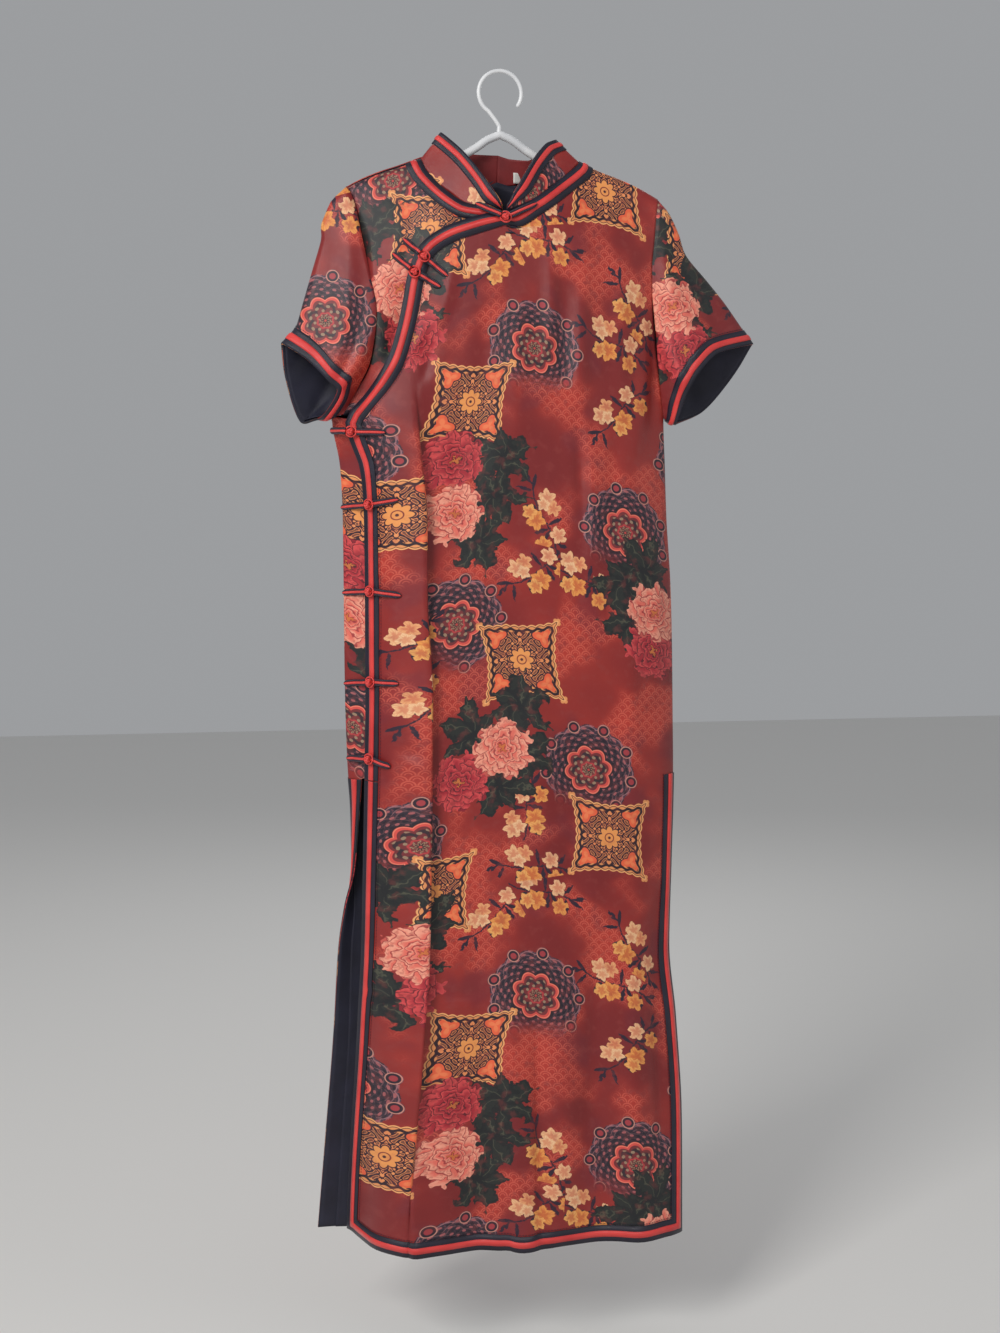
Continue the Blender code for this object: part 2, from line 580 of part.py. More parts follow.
def back_grid():
    """Rows of the back, from its upper edge down to the hem."""
    top_right, top_left = ARMHOLE_RIGHT["x"][0], ARMHOLE_LEFT["x"][0]
    rows = []
    for share in BACK_TOP_ROWS:
        inside = [top + (low - top) * share for top, low in zip(BACK_TOP_INSIDE, BACK_LOW_INSIDE)]
        row = []
        for x in [-mark for mark in back_marks(-top_right, -top_left, inside)]:
            drop = back_top_drop(x)
            drop += (UNDERARM - 1 - drop) * share
            right_x = float(smooth(ARMHOLE_RIGHT["drop"], ARMHOLE_RIGHT["x"], drop))
            left_x = float(smooth(ARMHOLE_LEFT["drop"], ARMHOLE_LEFT["x"], drop))
            part = (x - top_left) / (top_right - top_left)
            here = left_x + (right_x - left_x) * part
            station = station_at(back_section, here, drop, -HALF_WIDTH, 229.0)
            on_seam = share == 0 and abs(x) > BACK_NECKLINE["across"][-1] - 0.5
            row.append((station, 0.0 if on_seam else to_run(station, drop)))
        rows.append(row)
    for drop in (388.0, 405.0, 430.0, 460.0) + LEVEL_ROWS:
        marks = back_marks(-HALF_WIDTH, back_edge(drop), BACK_LOW_INSIDE)
        rows.append([(mark, to_run(mark, float(drop))) for mark in marks])
    return np.array(rows, float)


def armhole_ring(sections, side, bearings):
    """Points of an armhole by bearing: top, front, underarm, back."""
    table = ARMHOLE_LEFT if side < 0 else ARMHOLE_RIGHT
    top, low = table["drop"][0], UNDERARM - 1
    points = []
    for bearing in bearings:
        drop = top + (low - top) * (1 - math.cos(bearing)) / 2
        x = float(smooth(table["drop"], table["x"], drop))
        section = sections[0] if bearing <= math.pi else sections[1]
        ends = (-229.0, HALF_WIDTH) if bearing <= math.pi else (-HALF_WIDTH, 229.0)
        options = {"folded": False} if bearing <= math.pi else {}
        station = station_at(section, x, drop, *ends, **options)
        run = to_run(station, drop)
        point = sheet_point(section, np.array([station]), np.array([run]), **options)[0]
        points.append(point + np.array([side * ARMHOLE_GAP, 0, 0]))
    return np.array(points)


def cuff_ring(table, bearings):
    """Points of a cuff's edge, smooth and closed."""
    marks = [row[0] for row in table]
    marks = [marks[-1] - 360] + marks + [360, marks[1] + 360]
    rows = [table[-1]] + list(table) + [table[0], table[1]]
    degrees = np.degrees(bearings)
    axes = [smooth(marks, [row[place] for row in rows], degrees) for place in (1, 2, 3)]
    return np.stack([axes[0], axes[1], -axes[2]], -1)


class Sleeve:
    """Rings from an armhole to its cuff."""

    def __init__(self, side, cuff, top_line):
        self.side = side
        self.cuff = cuff
        self.top_line = top_line
        marks = np.linspace(0, 2 * math.pi, 73)[:-1]
        self.marks = np.append(marks, 2 * math.pi)
        start = armhole_ring((front_section, back_section), side, marks)
        finish = cuff_ring(cuff, marks)
        self.start = np.vstack([start, start[:1]])
        self.finish = np.vstack([finish, finish[:1]])

    def surface(self, bearing, along):
        bearing = np.mod(bearing, 2 * math.pi)
        start = np.stack([np.interp(bearing, self.marks, self.start[:, k]) for k in range(3)], -1)
        finish = np.stack([np.interp(bearing, self.marks, self.finish[:, k]) for k in range(3)], -1)
        out = smooth(self.top_line["along"], self.top_line["out"], along)
        share = np.clip(np.cos(bearing), 0, 1)
        point = start + (finish - start) * along[..., None]
        point[..., 0] += self.side * out * share
        puff = np.sin(np.clip(along, 0, 1) * math.pi) * 5.0
        point[..., 1] -= puff * np.sin(bearing)
        return point

    def grid(self):
        """Bearings and shares along the sleeve; the trim's line is a true width from the cuff."""
        bearings = np.linspace(0, 2 * math.pi, SLEEVE_SIDES + 1)[:-1]
        length = np.linalg.norm(self.surface(bearings, np.ones(SLEEVE_SIDES))
                                - self.surface(bearings, np.zeros(SLEEVE_SIDES)), axis=-1)
        scale = np.minimum(0.7 * length / TRIM_WIDTH, 1)
        rows = []
        for ring in SLEEVE_RINGS:
            rows.append(ring * (1 - TRIM_WIDTH * scale / length))
        for line in reversed(TRIM_LINES):
            rows.append(1 - line * scale / length)
        return np.stack([np.broadcast_to(bearings, (len(rows), SLEEVE_SIDES)), np.array(rows)], -1)


def build_sleeve(name, side, cuff, top_line):
    """Sleeve, its lining, and the cuff's trim, all from the same rings."""
    sleeve = Sleeve(side, cuff, top_line)
    grid = sleeve.grid()
    points = sleeve.surface(grid[..., 0], grid[..., 1])
    if side > 0:
        points = points[:, ::-1]
    sheet("sleeve_" + name, points, "satin", CLOTH, closed=True)
    inside = moved_out(points, -CLOTH - LINING_GAP, closed=True)[3:-1]
    sheet("sleeve_lining_" + name, inside, "lining", LINING, closed=True)
    lift = TRIM_GAP + TRIM_WALL
    sheet("cuff_band_" + name, moved_out(points, lift, closed=True)[-4:], "navy", TRIM_WALL, closed=True)
    sheet("cuff_piping_" + name, moved_out(points, 2 * lift, closed=True)[-3:-1], "red", TRIM_WALL,
          closed=True)


def neckline_point(x, behind):
    """Point of the neckline edge on the flap, the front or the back."""
    if behind:
        drop = back_top_drop(x)
        section, surface, low, high = back_section, back_surface, -150.0, 150.0
        options = {}
    else:
        outline = ((-92, 96), (-87, 108), (-74, 125), (-46, 146), (-12, 156), (0, 157),
                   (32, 143), (62, 121), (82, 105), (90, 96), (92, 96))
        drop = float(np.interp(x, [row[0] for row in outline], [row[1] for row in outline]))
        section, low, high = front_section, -150.0, 150.0
        surface = flap_surface if x < 0 else front_surface
        options = {"folded": False}
    station = station_at(section, x, drop, low, high, **options)
    run = np.array([to_run(station, drop)])
    return surface(np.array([station]), run)[0]


def collar_points(table):
    """Rows from the top edge of the collar down to its base, with a slight outward swell."""
    peak = max(abs(row[0]) for row in table)
    turn = next(place for place, row in enumerate(table) if abs(row[0]) == peak)
    base, top = [], []
    for place, (base_x, top_x, top_y, top_drop) in enumerate(table):
        foot = neckline_point(base_x, place > turn)
        head = np.array([top_x, top_y, -float(top_drop)])
        lift = (head - foot) / np.linalg.norm(head - foot)
        base.append(foot + lift * (COLLAR_GAP if place <= turn else 2 * COLLAR_GAP))
        top.append(head)
    base, top = np.array(base), np.array(top)
    depth = np.linalg.norm(top - base, axis=-1)
    scale = np.minimum(0.7 * depth / TRIM_WIDTH, 0.85)
    shares = [line * scale / depth for line in TRIM_LINES]
    shares += [(1 + shares[-1]) / 2, np.ones_like(depth)]
    return np.array([top + (base - top) * share[:, None] for share in shares])


def build_collar(name, table):
    points = collar_points(table)
    if name == "left":
        points = points[:, ::-1]
    sheet("collar_" + name, points, "satin", CLOTH)
    lift = TRIM_GAP + TRIM_WALL
    sheet("collar_band_" + name, moved_out(points, lift)[:4], "navy", TRIM_WALL)
    sheet("collar_piping_" + name, moved_out(points, 2 * lift)[1:3], "red", TRIM_WALL)


def build_label(table):
    """Small blank label inside the collar, to the right of its centre seam."""
    points = collar_points(table)
    inner = mesh_normals(points)
    i, j = 4, len(table) - 2
    corner = points[i, j] - inner[i, j] * (CLOTH + 0.5)
    across_way = points[i, j - 1] - points[i, j]
    across_way /= np.linalg.norm(across_way)
    down_way = points[i + 1, j] - points[i, j]
    down_way /= np.linalg.norm(down_way)
    quad = np.array([[corner - down_way * 5, corner - down_way * 5 + across_way * 8],
                     [corner + down_way * 6, corner + down_way * 6 + across_way * 8]])
    sheet("neck_label", quad[:, ::-1], "label", 1.0)


def frog_leg(name, path, normals):
    """Flat cord laid along a path: six-sided sections, closed at both ends."""
    profile = ((-0.5, 0.3), (-0.28, 1), (0.28, 1), (0.5, 0.3), (0.38, 0), (-0.38, 0))
    width = (1.0,) * (len(path) - 1) + (0.55,)
    vertices, faces = [], []
    tangent = np.gradient(path, axis=0)
    tangent /= np.linalg.norm(tangent, axis=1, keepdims=True)
    for place in range(len(path)):
        sideways = np.cross(tangent[place], normals[place])
        sideways /= np.linalg.norm(sideways)
        for wide, high in profile:
            vertices.append(path[place] + sideways * wide * FROG_WIDTH * width[place]
                            + normals[place] * high * FROG_HEIGHT)
    sides = len(profile)
    for ring in range(len(path) - 1):
        for j in range(sides):
            k = (j + 1) % sides
            a, b = ring * sides + j, ring * sides + k
            c, d = (ring + 1) * sides + k, (ring + 1) * sides + j
            faces.append((a, b, c))
            faces.append((a, c, d))
    last = (len(path) - 1) * sides
    faces.append(tuple(range(sides - 1, -1, -1)))
    faces.append(tuple(range(last, last + sides)))
    piece = make_object(name, vertices, faces, "red")
    mesh = bmesh.new()
    mesh.from_mesh(piece.data)
    bmesh.ops.recalc_face_normals(mesh, faces=mesh.faces)
    mesh.to_mesh(piece.data)
    mesh.free()
    return piece


def join_to(piece, other):
    """Unites a helper solid with a piece and keeps the helper among the cutters."""
    for collection in list(other.users_collection):
        collection.objects.unlink(other)
    CUTTERS.objects.link(other)
    other.hide_render = True
    other.display_type = "WIRE"
    union = piece.modifiers.new("join", "BOOLEAN")
    union.operation = "UNION"
    union.solver = "EXACT"
    union.object = other


def place_on(surface, marks, out):
    marks = np.array(marks, float)
    points = surface(marks[:, 0], marks[:, 1])
    normals = outward(surface, marks[:, 0], marks[:, 1])
    return points + normals * out, normals


def front_marks(pairs):
    marks = []
    for x, drop in pairs:
        station = front_station(x, drop)
        marks.append((station, to_run(station, float(drop))))
    return marks


def host_marks(host, pairs):
    """Stations on the flap or on the back's wrapped side."""
    marks = []
    for x, drop in pairs:
        if host != "back":
            station = station_at(front_section, x, drop, -229.0, HALF_WIDTH, folded=False)
            run = to_run(station, float(drop))
        else:
            share = (x + 181) / (181 - 157)
            station = 204 + 21 * np.clip(share, 0, 1)
            run = to_run(station, float(drop))
        marks.append((station, run))
    return marks


def between(first, second, share):
    return (first[0] + (second[0] - first[0]) * share, first[1] + (second[1] - first[1]) * share)


def build_frog(name, knot, tip, far_tip, host):
    """Knot half on the front, loop half on the flap or the back."""
    over_trim = 2 * (TRIM_GAP + TRIM_WALL) + FROG_GAP
    reach = math.dist(knot, tip)
    clear = 12.5 / reach
    rest = over_trim if host == "trim" else FROG_GAP
    shares = (0, 6 / reach, clear, clear + 0.18, (clear + 1.15) / 2, 1)
    lifts = np.array([over_trim, over_trim, over_trim, rest, rest, rest])
    marks = front_marks([between(knot, tip, share) for share in shares])
    points, normals = place_on(front_surface, marks, lifts[:, None])
    centre, up = points[0], normals[0]
    leg = frog_leg(name + "_knot", points, normals)
    bpy.ops.mesh.primitive_uv_sphere_add(segments=10, ring_count=7, radius=KNOT_RADIUS * MM)
    ball = bpy.context.object
    ball.location = Vector((centre + up * (FROG_HEIGHT + KNOT_RADIUS * 0.8)) * MM)
    join_to(leg, ball)

    outer = 10.5 / math.dist(knot, far_tip)
    edge, edge_normals = place_on(front_surface, front_marks([between(knot, far_tip, outer)]), over_trim)
    away = edge[0] - centre
    away -= up * np.dot(away, up)
    away /= np.linalg.norm(away)
    level = centre + up * (FROG_HEIGHT + FROG_GAP - 0.4)
    start = np.array([level + away * (LOOP_RADIUS - 0.3), level + away * (LOOP_RADIUS + 4.0)])
    start_normals = np.array([up, up])
    host_surface = {"back": back_surface, "flap": flap_surface, "trim": plain_surface}[host]
    shares = (outer + 0.22, (outer + 1.25) / 2, 1)
    marks = host_marks(host, [between(knot, far_tip, share) for share in shares])
    tail, tail_normals = place_on(host_surface, marks, np.array([[rest + 0.5], [rest], [rest]]))
    path = np.vstack([start, tail])
    loop = frog_leg(name + "_loop", path, np.vstack([start_normals, tail_normals]))
    bpy.ops.mesh.primitive_torus_add(major_segments=14, minor_segments=5,
                                     major_radius=LOOP_RADIUS * MM, minor_radius=LOOP_CORD * MM)
    ring = bpy.context.object
    ring.rotation_mode = "QUATERNION"
    ring.rotation_quaternion = Vector((0, 0, 1)).rotation_difference(Vector(up))
    ring.location = Vector((centre + up * (FROG_HEIGHT + FROG_GAP + LOOP_CORD)) * MM)
    join_to(loop, ring)


def tube(name, points, radius, resolution):
    """Round tube along points, as a mesh with welded caps."""
    curve = bpy.data.curves.new(name, "CURVE")
    curve.dimensions = "3D"
    curve.bevel_depth = radius * MM
    curve.bevel_resolution = resolution
    curve.use_fill_caps = True
    spline = curve.splines.new("POLY")
    spline.points.add(len(points) - 1)
    for place, point in enumerate(points):
        spline.points[place].co = (point[0] * MM, point[1] * MM, point[2] * MM, 1)
    drawn = bpy.data.objects.new(name + "_curve", curve)
    DRESS.objects.link(drawn)
    bpy.context.view_layer.update()
    evaluated = drawn.evaluated_get(bpy.context.evaluated_depsgraph_get())
    mesh = bpy.data.meshes.new_from_object(evaluated)
    bpy.data.objects.remove(drawn)
    shape = bmesh.new()
    shape.from_mesh(mesh)
    bmesh.ops.remove_doubles(shape, verts=shape.verts, dist=0.00001)
    bmesh.ops.recalc_face_normals(shape, faces=shape.faces)
    shape.to_mesh(mesh)
    shape.free()
    mesh.materials.clear()
    mesh.materials.append(MATERIALS["plastic"])
    piece = bpy.data.objects.new(name, mesh)
    DRESS.objects.link(piece)
    return piece


def build_hanger():
    """Bell-shaped plastic hanger: one round arm bar and a round hook."""
    half = ((0, -68), (14, -74), (27, -83), (40, -91), (52, -98), (70, -105), (92, -111), (118, -120),
            (145, -131), (163, -140))
    knots = [row[0] for row in half]
    drops = [row[1] for row in half]
    arms = []
    for x in np.linspace(-163, 163, 45):
        arms.append((x, 0, float(smooth(knots, drops, abs(x)))))
    bar = tube("hanger", arms, ARM_TUBE, 3)
    centre_z = -(HOOK_RADIUS - HOOK_WIRE)
    hook = [(-1, 0, -68), (-1, 0, -58)]
    for degrees in range(238, -41, -14):
        angle = math.radians(degrees)
        hook.append((HOOK_RADIUS * math.cos(angle), 0, centre_z + HOOK_RADIUS * math.sin(angle)))
    join_to(bar, tube("hook_shape", hook, HOOK_WIRE, 3))


def clear_scene():
    for old in list(bpy.data.objects):
        bpy.data.objects.remove(old)


def make_material(name, colour, roughness):
    material = bpy.data.materials.new(name)
    material.use_nodes = True
    shader = material.node_tree.nodes["Principled BSDF"]
    shader.inputs["Base Color"].default_value = colour
    shader.inputs["Roughness"].default_value = roughness
    shader.inputs["Metallic"].default_value = 0
    return material


def build_front():
    grid = front_grid()
    rows, columns = grid.shape[:2]
    slit = len(FRONT_ROWS) + LEVEL_ROWS.index(SLIT_TOP)
    points = front_surface(grid[..., 0], grid[..., 1])
    sheet("front", points, "satin", CLOTH)
    trim("opening", points, lambda i, j: i < slit - 1 and j < 3, lambda i, j: i < slit - 1 and j == 1)
    trim("front_skirt", points, skirt_cells(slit, rows, columns, 0, 2),
         skirt_cells(slit, rows, columns, 1, 1))


def build_flap():
    grid = flap_grid()
    last = grid.shape[1] - 2
    points = flap_surface(grid[..., 0], grid[..., 1])
    sheet("front_flap", points, "satin", CLOTH)
    trim("flap_neck", points, lambda i, j: i < 5 and j > last - 3, lambda i, j: i < 5 and j == last - 1)


def build_back():
    grid = back_grid()
    rows, columns = grid.shape[:2]
    slit = rows - len(LEVEL_ROWS) + LEVEL_ROWS.index(SLIT_TOP)
    points = back_surface(grid[..., 0], grid[..., 1])
    sheet("back", points, "satin", CLOTH)
    trim("back_skirt", points, skirt_cells(slit, rows, columns, 0, 2),
         skirt_cells(slit, rows, columns, 1, 1))

    def lined(i, j):
        """The lining stops short of the edges, and of the lap under the front."""
        return i > 0 and 3 <= j < columns - (4 if i >= slit else 8)

    sheet("back_lining", moved_out(points, -CLOTH - TRIM_GAP), "lining", LINING, lined)


clear_scene()
DRESS = bpy.data.collections.new("cheongsam dress on hanger")
CUTTERS = bpy.data.collections.new("cutters")
bpy.context.scene.collection.children.link(DRESS)
bpy.context.scene.collection.children.link(CUTTERS)
MATERIALS = {name: make_material(name, colour, rough) for name, (colour, rough) in COLOURS.items()}

build_front()
build_flap()
build_back()
for sleeve_name, sleeve_side, sleeve_cuff, sleeve_top in (
        ("left", -1, CUFF_LEFT, SLEEVE_TOP_LEFT), ("right", 1, CUFF_RIGHT, SLEEVE_TOP_RIGHT)):
    build_sleeve(sleeve_name, sleeve_side, sleeve_cuff, sleeve_top)
build_collar("left", COLLAR_LEFT)
build_collar("right", COLLAR_RIGHT)
build_label(COLLAR_RIGHT)
for frog_name, knot_at, tip_at, far_tip_at, lies_on in FROGS:
    build_frog(frog_name, knot_at, tip_at, far_tip_at, lies_on)
build_hanger()
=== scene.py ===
# %% [markdown]
# # A printed satin cheongsam on its hanger
#
# This lesson dresses a plain, measured model of a long cheongsam in real cloth. The
# plain model gives every panel's place and size. Here each panel is drawn again from
# the same sizes with many more points, so that its folds can be soft, and then it gets
# its print, its lining, its bound edges and its corded frogs.

# %% Tools and the measured model
import json
import math

import bmesh
import bpy
import numpy as np
from mathutils import Matrix, Vector

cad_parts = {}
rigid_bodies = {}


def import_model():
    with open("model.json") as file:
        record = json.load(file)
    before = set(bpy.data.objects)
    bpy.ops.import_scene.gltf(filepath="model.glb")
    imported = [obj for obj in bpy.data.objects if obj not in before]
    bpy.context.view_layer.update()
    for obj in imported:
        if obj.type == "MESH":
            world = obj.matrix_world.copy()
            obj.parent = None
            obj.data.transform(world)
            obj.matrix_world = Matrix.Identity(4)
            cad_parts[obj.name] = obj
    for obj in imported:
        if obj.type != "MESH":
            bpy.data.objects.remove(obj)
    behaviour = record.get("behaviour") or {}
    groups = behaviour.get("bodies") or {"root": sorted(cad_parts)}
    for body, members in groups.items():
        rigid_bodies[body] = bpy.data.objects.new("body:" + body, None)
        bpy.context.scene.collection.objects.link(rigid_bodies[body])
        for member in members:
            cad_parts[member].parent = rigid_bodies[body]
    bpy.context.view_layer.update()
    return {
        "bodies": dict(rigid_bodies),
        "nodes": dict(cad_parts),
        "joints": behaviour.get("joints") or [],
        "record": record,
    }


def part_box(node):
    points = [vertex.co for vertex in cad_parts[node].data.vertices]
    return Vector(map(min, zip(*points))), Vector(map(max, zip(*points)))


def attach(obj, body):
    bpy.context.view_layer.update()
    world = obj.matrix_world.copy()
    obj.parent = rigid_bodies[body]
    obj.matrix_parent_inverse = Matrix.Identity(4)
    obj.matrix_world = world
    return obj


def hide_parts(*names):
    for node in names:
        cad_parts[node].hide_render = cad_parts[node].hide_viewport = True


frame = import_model()

# %% [markdown]
# ## Camera and light
#
# The dress is seen from a little to its left and level with its middle, with a lens of
# ordinary length. Satin shows its folds only when the light comes from one side, so the
# main light is broad and stands to the upper left, and a weak one fills the right.

# %% The camera
def place_camera():
    camera = bpy.data.objects.new("camera", bpy.data.cameras.new("camera"))
    bpy.context.collection.objects.link(camera)
    turn, dip = math.radians(-10.0), math.radians(5.1)
    reach = 2.13
    camera.location = (math.sin(turn) * reach, -math.cos(turn) * reach, -0.479)
    camera.rotation_euler = (math.pi / 2 - dip, 0.0, turn)
    camera.data.lens = 50.0
    camera.data.sensor_width = 36.0
    bpy.context.scene.camera = camera
    print("camera stands at", [round(value, 3) for value in camera.location])


place_camera()


# %% The floor, the lamps and the pale room
def place_lamp(name, place, aim, width, power, tint):
    lamp = bpy.data.objects.new(name, bpy.data.lights.new(name, "AREA"))
    bpy.context.collection.objects.link(lamp)
    lamp.data.shape = "RECTANGLE"
    lamp.data.size, lamp.data.size_y = width
    lamp.data.energy = power
    lamp.data.color = tint
    lamp.location = place
    lamp.rotation_euler = (Vector(aim) - Vector(place)).to_track_quat("-Z", "Y").to_euler()


def light_room():
    mesh = bpy.data.meshes.new("floor")
    mesh.from_pydata([(-6, -6, -1.48), (6, -6, -1.48), (6, 6, -1.48), (-6, 6, -1.48)], [], [(0, 1, 2, 3)])
    floor = bpy.data.objects.new("floor", mesh)
    bpy.context.collection.objects.link(floor)
    paint = bpy.data.materials.new("floor_paint")
    paint.use_nodes = True
    shader = paint.node_tree.nodes["Principled BSDF"]
    shader.inputs["Base Color"].default_value = (0.78, 0.77, 0.75, 1)
    shader.inputs["Roughness"].default_value = 0.7
    mesh.materials.append(paint)
    place_lamp("window", (-2.0, -2.3, 1.1), (0, 0, -0.6), (1.1, 1.5), 78.0, (1.0, 0.98, 0.95))
    place_lamp("fill", (2.4, -1.6, 0.2), (0, 0, -0.8), (1.6, 1.8), 7.0, (1.0, 0.97, 0.94))
    place_lamp("rim", (0.6, 2.4, 0.9), (0, 0, -0.6), (1.6, 1.6), 12.0, (1.0, 1.0, 1.0))
    room = bpy.data.worlds.new("room")
    bpy.context.scene.world = room
    room.use_nodes = True
    room.node_tree.nodes["Background"].inputs["Color"].default_value = (0.92, 0.94, 0.97, 1)
    room.node_tree.nodes["Background"].inputs["Strength"].default_value = 0.36
    bpy.context.scene.view_settings.view_transform = "Standard"


light_room()

# %% [markdown]
# ## Sizes
#
# Everything below is in millimetres until a mesh is made. "Drop" is the distance below
# the top of the hook. The tables are the ones that the measured model was cut by, but the
# gaps at the sewn seams are closed up here, so that no dark line shows at a seam.
# The front has one row for each level from the shoulder to the hem, and its columns give
# the depth of the cloth from left to right, with the long fold beside the closing edge.

# %% Driving sizes and tables
MM = 0.001
SEAM_GAP = 0.3         # between the outer faces of two sewn pieces, whose walls lean together
COLLAR_GAP = -0.4      # the collar is set this far into the neckline, twice that behind the neck
ARMHOLE_GAP = -0.5     # a sleeve is set this far into the body's armhole
SIDE_GAP = 0.6         # between front and back at the side seam, where the cloth turns
TRIM_WIDTH = 19.0      # navy, red and navy together
TRIM_GAP = 0.4         # between layers of trim
TRIM_WALL = 1.0
RED_START = 5.5        # the red piping begins this far in from the edge
RED_END = 12.5
SHOULDER_RADIUS = 10.0
SHOULDER_EASE = 95.0   # drop over which the chest reaches its full depth
HALF_WIDTH = 200.0     # station of the side seams, measured across the cloth
LAP_STATION = 262.0    # the back reaches this far round, under the closing edge
SLIT_STATION = 225.0   # the back's own edge below the slit
SLIT_TOP = 797.0
HEM_DROP = 1342.0
UNDERARM = 383.0
ARM_TUBE = 4.5
HOOK_WIRE = 2.3
HOOK_RADIUS = 24.3

# The shoulder seam: drop of the seam at each distance from the middle.
SHOULDER = {
    "across": (0, 92, 115, 137, 160, 183, 200, 230),
    "drop": (62, 96, 105, 112.5, 122, 134.5, 146, 170),
}


# %% Armholes
# The armholes: x of the armhole seam at each drop.
ARMHOLE_LEFT = {
    "drop": (130, 150, 194, 226, 269, 320, 355, 383),
    "x": (-174, -166, -157, -151, -144, -150, -165, -181),
}
ARMHOLE_RIGHT = {
    "drop": (134, 150, 182, 217, 294, 345, 383),
    "x": (183, 180, 177, 173, 180, 186, 191),
}


# %% The front, level by level
# The front in section, a row for each drop. edge is the closing edge, swell the round
# stretch beside it, lip the ridge of the long overhanging fold, fold how far that fold
# has formed, and the y columns the depth of the plain front from left to right.
FRONT_COLUMNS = ("drop", "edge_x", "edge_y", "swell_y", "lip_x", "lip_y", "fold",
                 "y_65", "y_25", "y_mid", "y_r65", "y_r110", "y_r150", "y_side", "seam_x", "seam_y")
FRONT_LEVELS = (
    (96, -170, -12, -24, -103, -34, 0, -33, -36, -37, -33, -27, -20, -11, 200, -6),
    (200, -170, -10, -26, -103, -38, 0, -40, -42, -42, -40, -33, -24, -12, 200, -6),
    (285, -172, -12, -30, -103, -41, 0.0, -42, -44, -44, -41, -36, -27, -13, 198, -5),
    (340, -176, -14, -34, -101, -44, 0.2, -41, -44, -45, -42, -38, -29, -12, 194, -3),
    (385, -178, -16, -38, -98, -48, 0.55, -39, -43, -45, -42, -39, -31, -13, 191, -2),
    (440, -160, -15, -38, -96, -51, 0.9, -38, -42, -44, -42, -40, -33, -15, 193, -3),
    (500, -157, -10, -36, -92, -52, 1, -38, -41, -43, -43, -41, -34, -17, 196, -3),
    (590, -156, -7, -35, -92, -53, 1, -39, -42, -43, -43, -42, -36, -19, 202, -3),
    (690, -156, -5, -34, -87, -54, 1, -40, -42, -44, -43, -42, -37, -20, 205, -3),
    (780, -158, -5, -34, -88, -55, 1, -41, -43, -45, -44, -42, -37, -20, 206, -3),
    (900, -160, 0, -34, -90, -57, 1, -43, -45, -46, -45, -43, -38, -20, 204, -2),
    (1000, -162, 5, -32, -92, -59, 1, -44, -47, -49, -47, -45, -40, -22, 202, -4),
    (1090, -166, 14, -30, -99, -62, 1, -46, -49, -53, -49, -47, -44, -28, 210, -10),
    (1200, -170, 25, -27, -105, -64, 0.8, -48, -49, -58, -51, -50, -51, -37, 215, -20),
    (1342, -175, 40, -22, -119, -66, 0.35, -54, -49, -65, -54, -53, -64, -52, 212, -36),
)
FRONT_STATIONS = (-230, -170, -143, -115, -107, -94, -86, -65, -25, 25, 65, 110, 150, 183, 200, 230)
ROUND_THE_SEAM = (10.0, 14.0)      # how the cloth turns towards the back beyond the side seam
FOLD_TURN = (7.0, 10.0, 13.5)     # depth of the fold's back, tuck and way out, behind its lip
FOLD_SHIFT = (1.0, 9.0, -1.0)     # how far each lies to the left of the lip


# %% The back, level by level
# The back in section. turn, side and edge are the left bend, the outermost line and the
# free edge, which wraps under the front above the slit and lies open below it.
BACK_COLUMNS = ("drop", "y_seam", "y_turn_r", "y_130", "y_65", "y_mid", "y_l65", "y_l130",
                "turn_x", "turn_y", "side_x", "side_y", "edge_x", "edge_y")
BACK_LEVELS = (
    (96, 6, 11, 20, 25, 27, 25, 20, -170, 12, -200, 6, -225, 4),
    (200, 6, 13, 22, 26, 28, 26, 22, -170, 14, -200, 6, -225, 4),
    (300, 5, 14, 22, 27, 29, 27, 23, -170, 15, -200, 7, -225, 4),
    (380, 3, 15, 23, 28, 30, 28, 24, -172, 16, -194, 5, -225, 2),
    (386, 3, 15, 23, 28, 30, 28, 24, -173, 21, -192, 8, -174, -12),
    (400, 3, 15, 23, 28, 30, 28, 24, -172, 21, -190, 8, -172, -11),
    (440, 3, 16, 24, 28, 30, 28, 24, -166, 24, -182, 10, -160, -9),
    (500, 3, 17, 25, 29, 30, 29, 25, -164, 26, -179, 13, -157, -5),
    (690, 3, 18, 26, 30, 32, 30, 27, -163, 28, -178, 15, -157, -1),
    (780, 3, 19, 27, 31, 33, 31, 28, -161, 28, -176, 14, -160, 0),
    (830, 4, 20, 28, 32, 34, 33, 30, -158, 30, -172, 18, -163, 5),
    (905, 5, 22, 29, 33, 35, 34, 32, -150, 35, -169, 31, -169, 17),
    (950, 6, 23, 30, 34, 36, 36, 34, -148, 37, -167, 37, -179, 27),
    (1000, 6, 24, 31, 35, 37, 37, 35, -150, 40, -170, 40, -186, 33),
    (1100, 7, 26, 32, 36, 38, 39, 38, -155, 42, -173, 43, -192, 40),
    (1235, 9, 30, 35, 38, 40, 42, 41, -160, 44, -182, 47, -203, 45),
    (1342, 12, 34, 38, 40, 42, 44, 43, -165, 46, -189, 50, -212, 50),
)
BACK_STATIONS = (-230, -200, -180, -130, -65, 0, 65, 130, 172, 204, 225, 262)


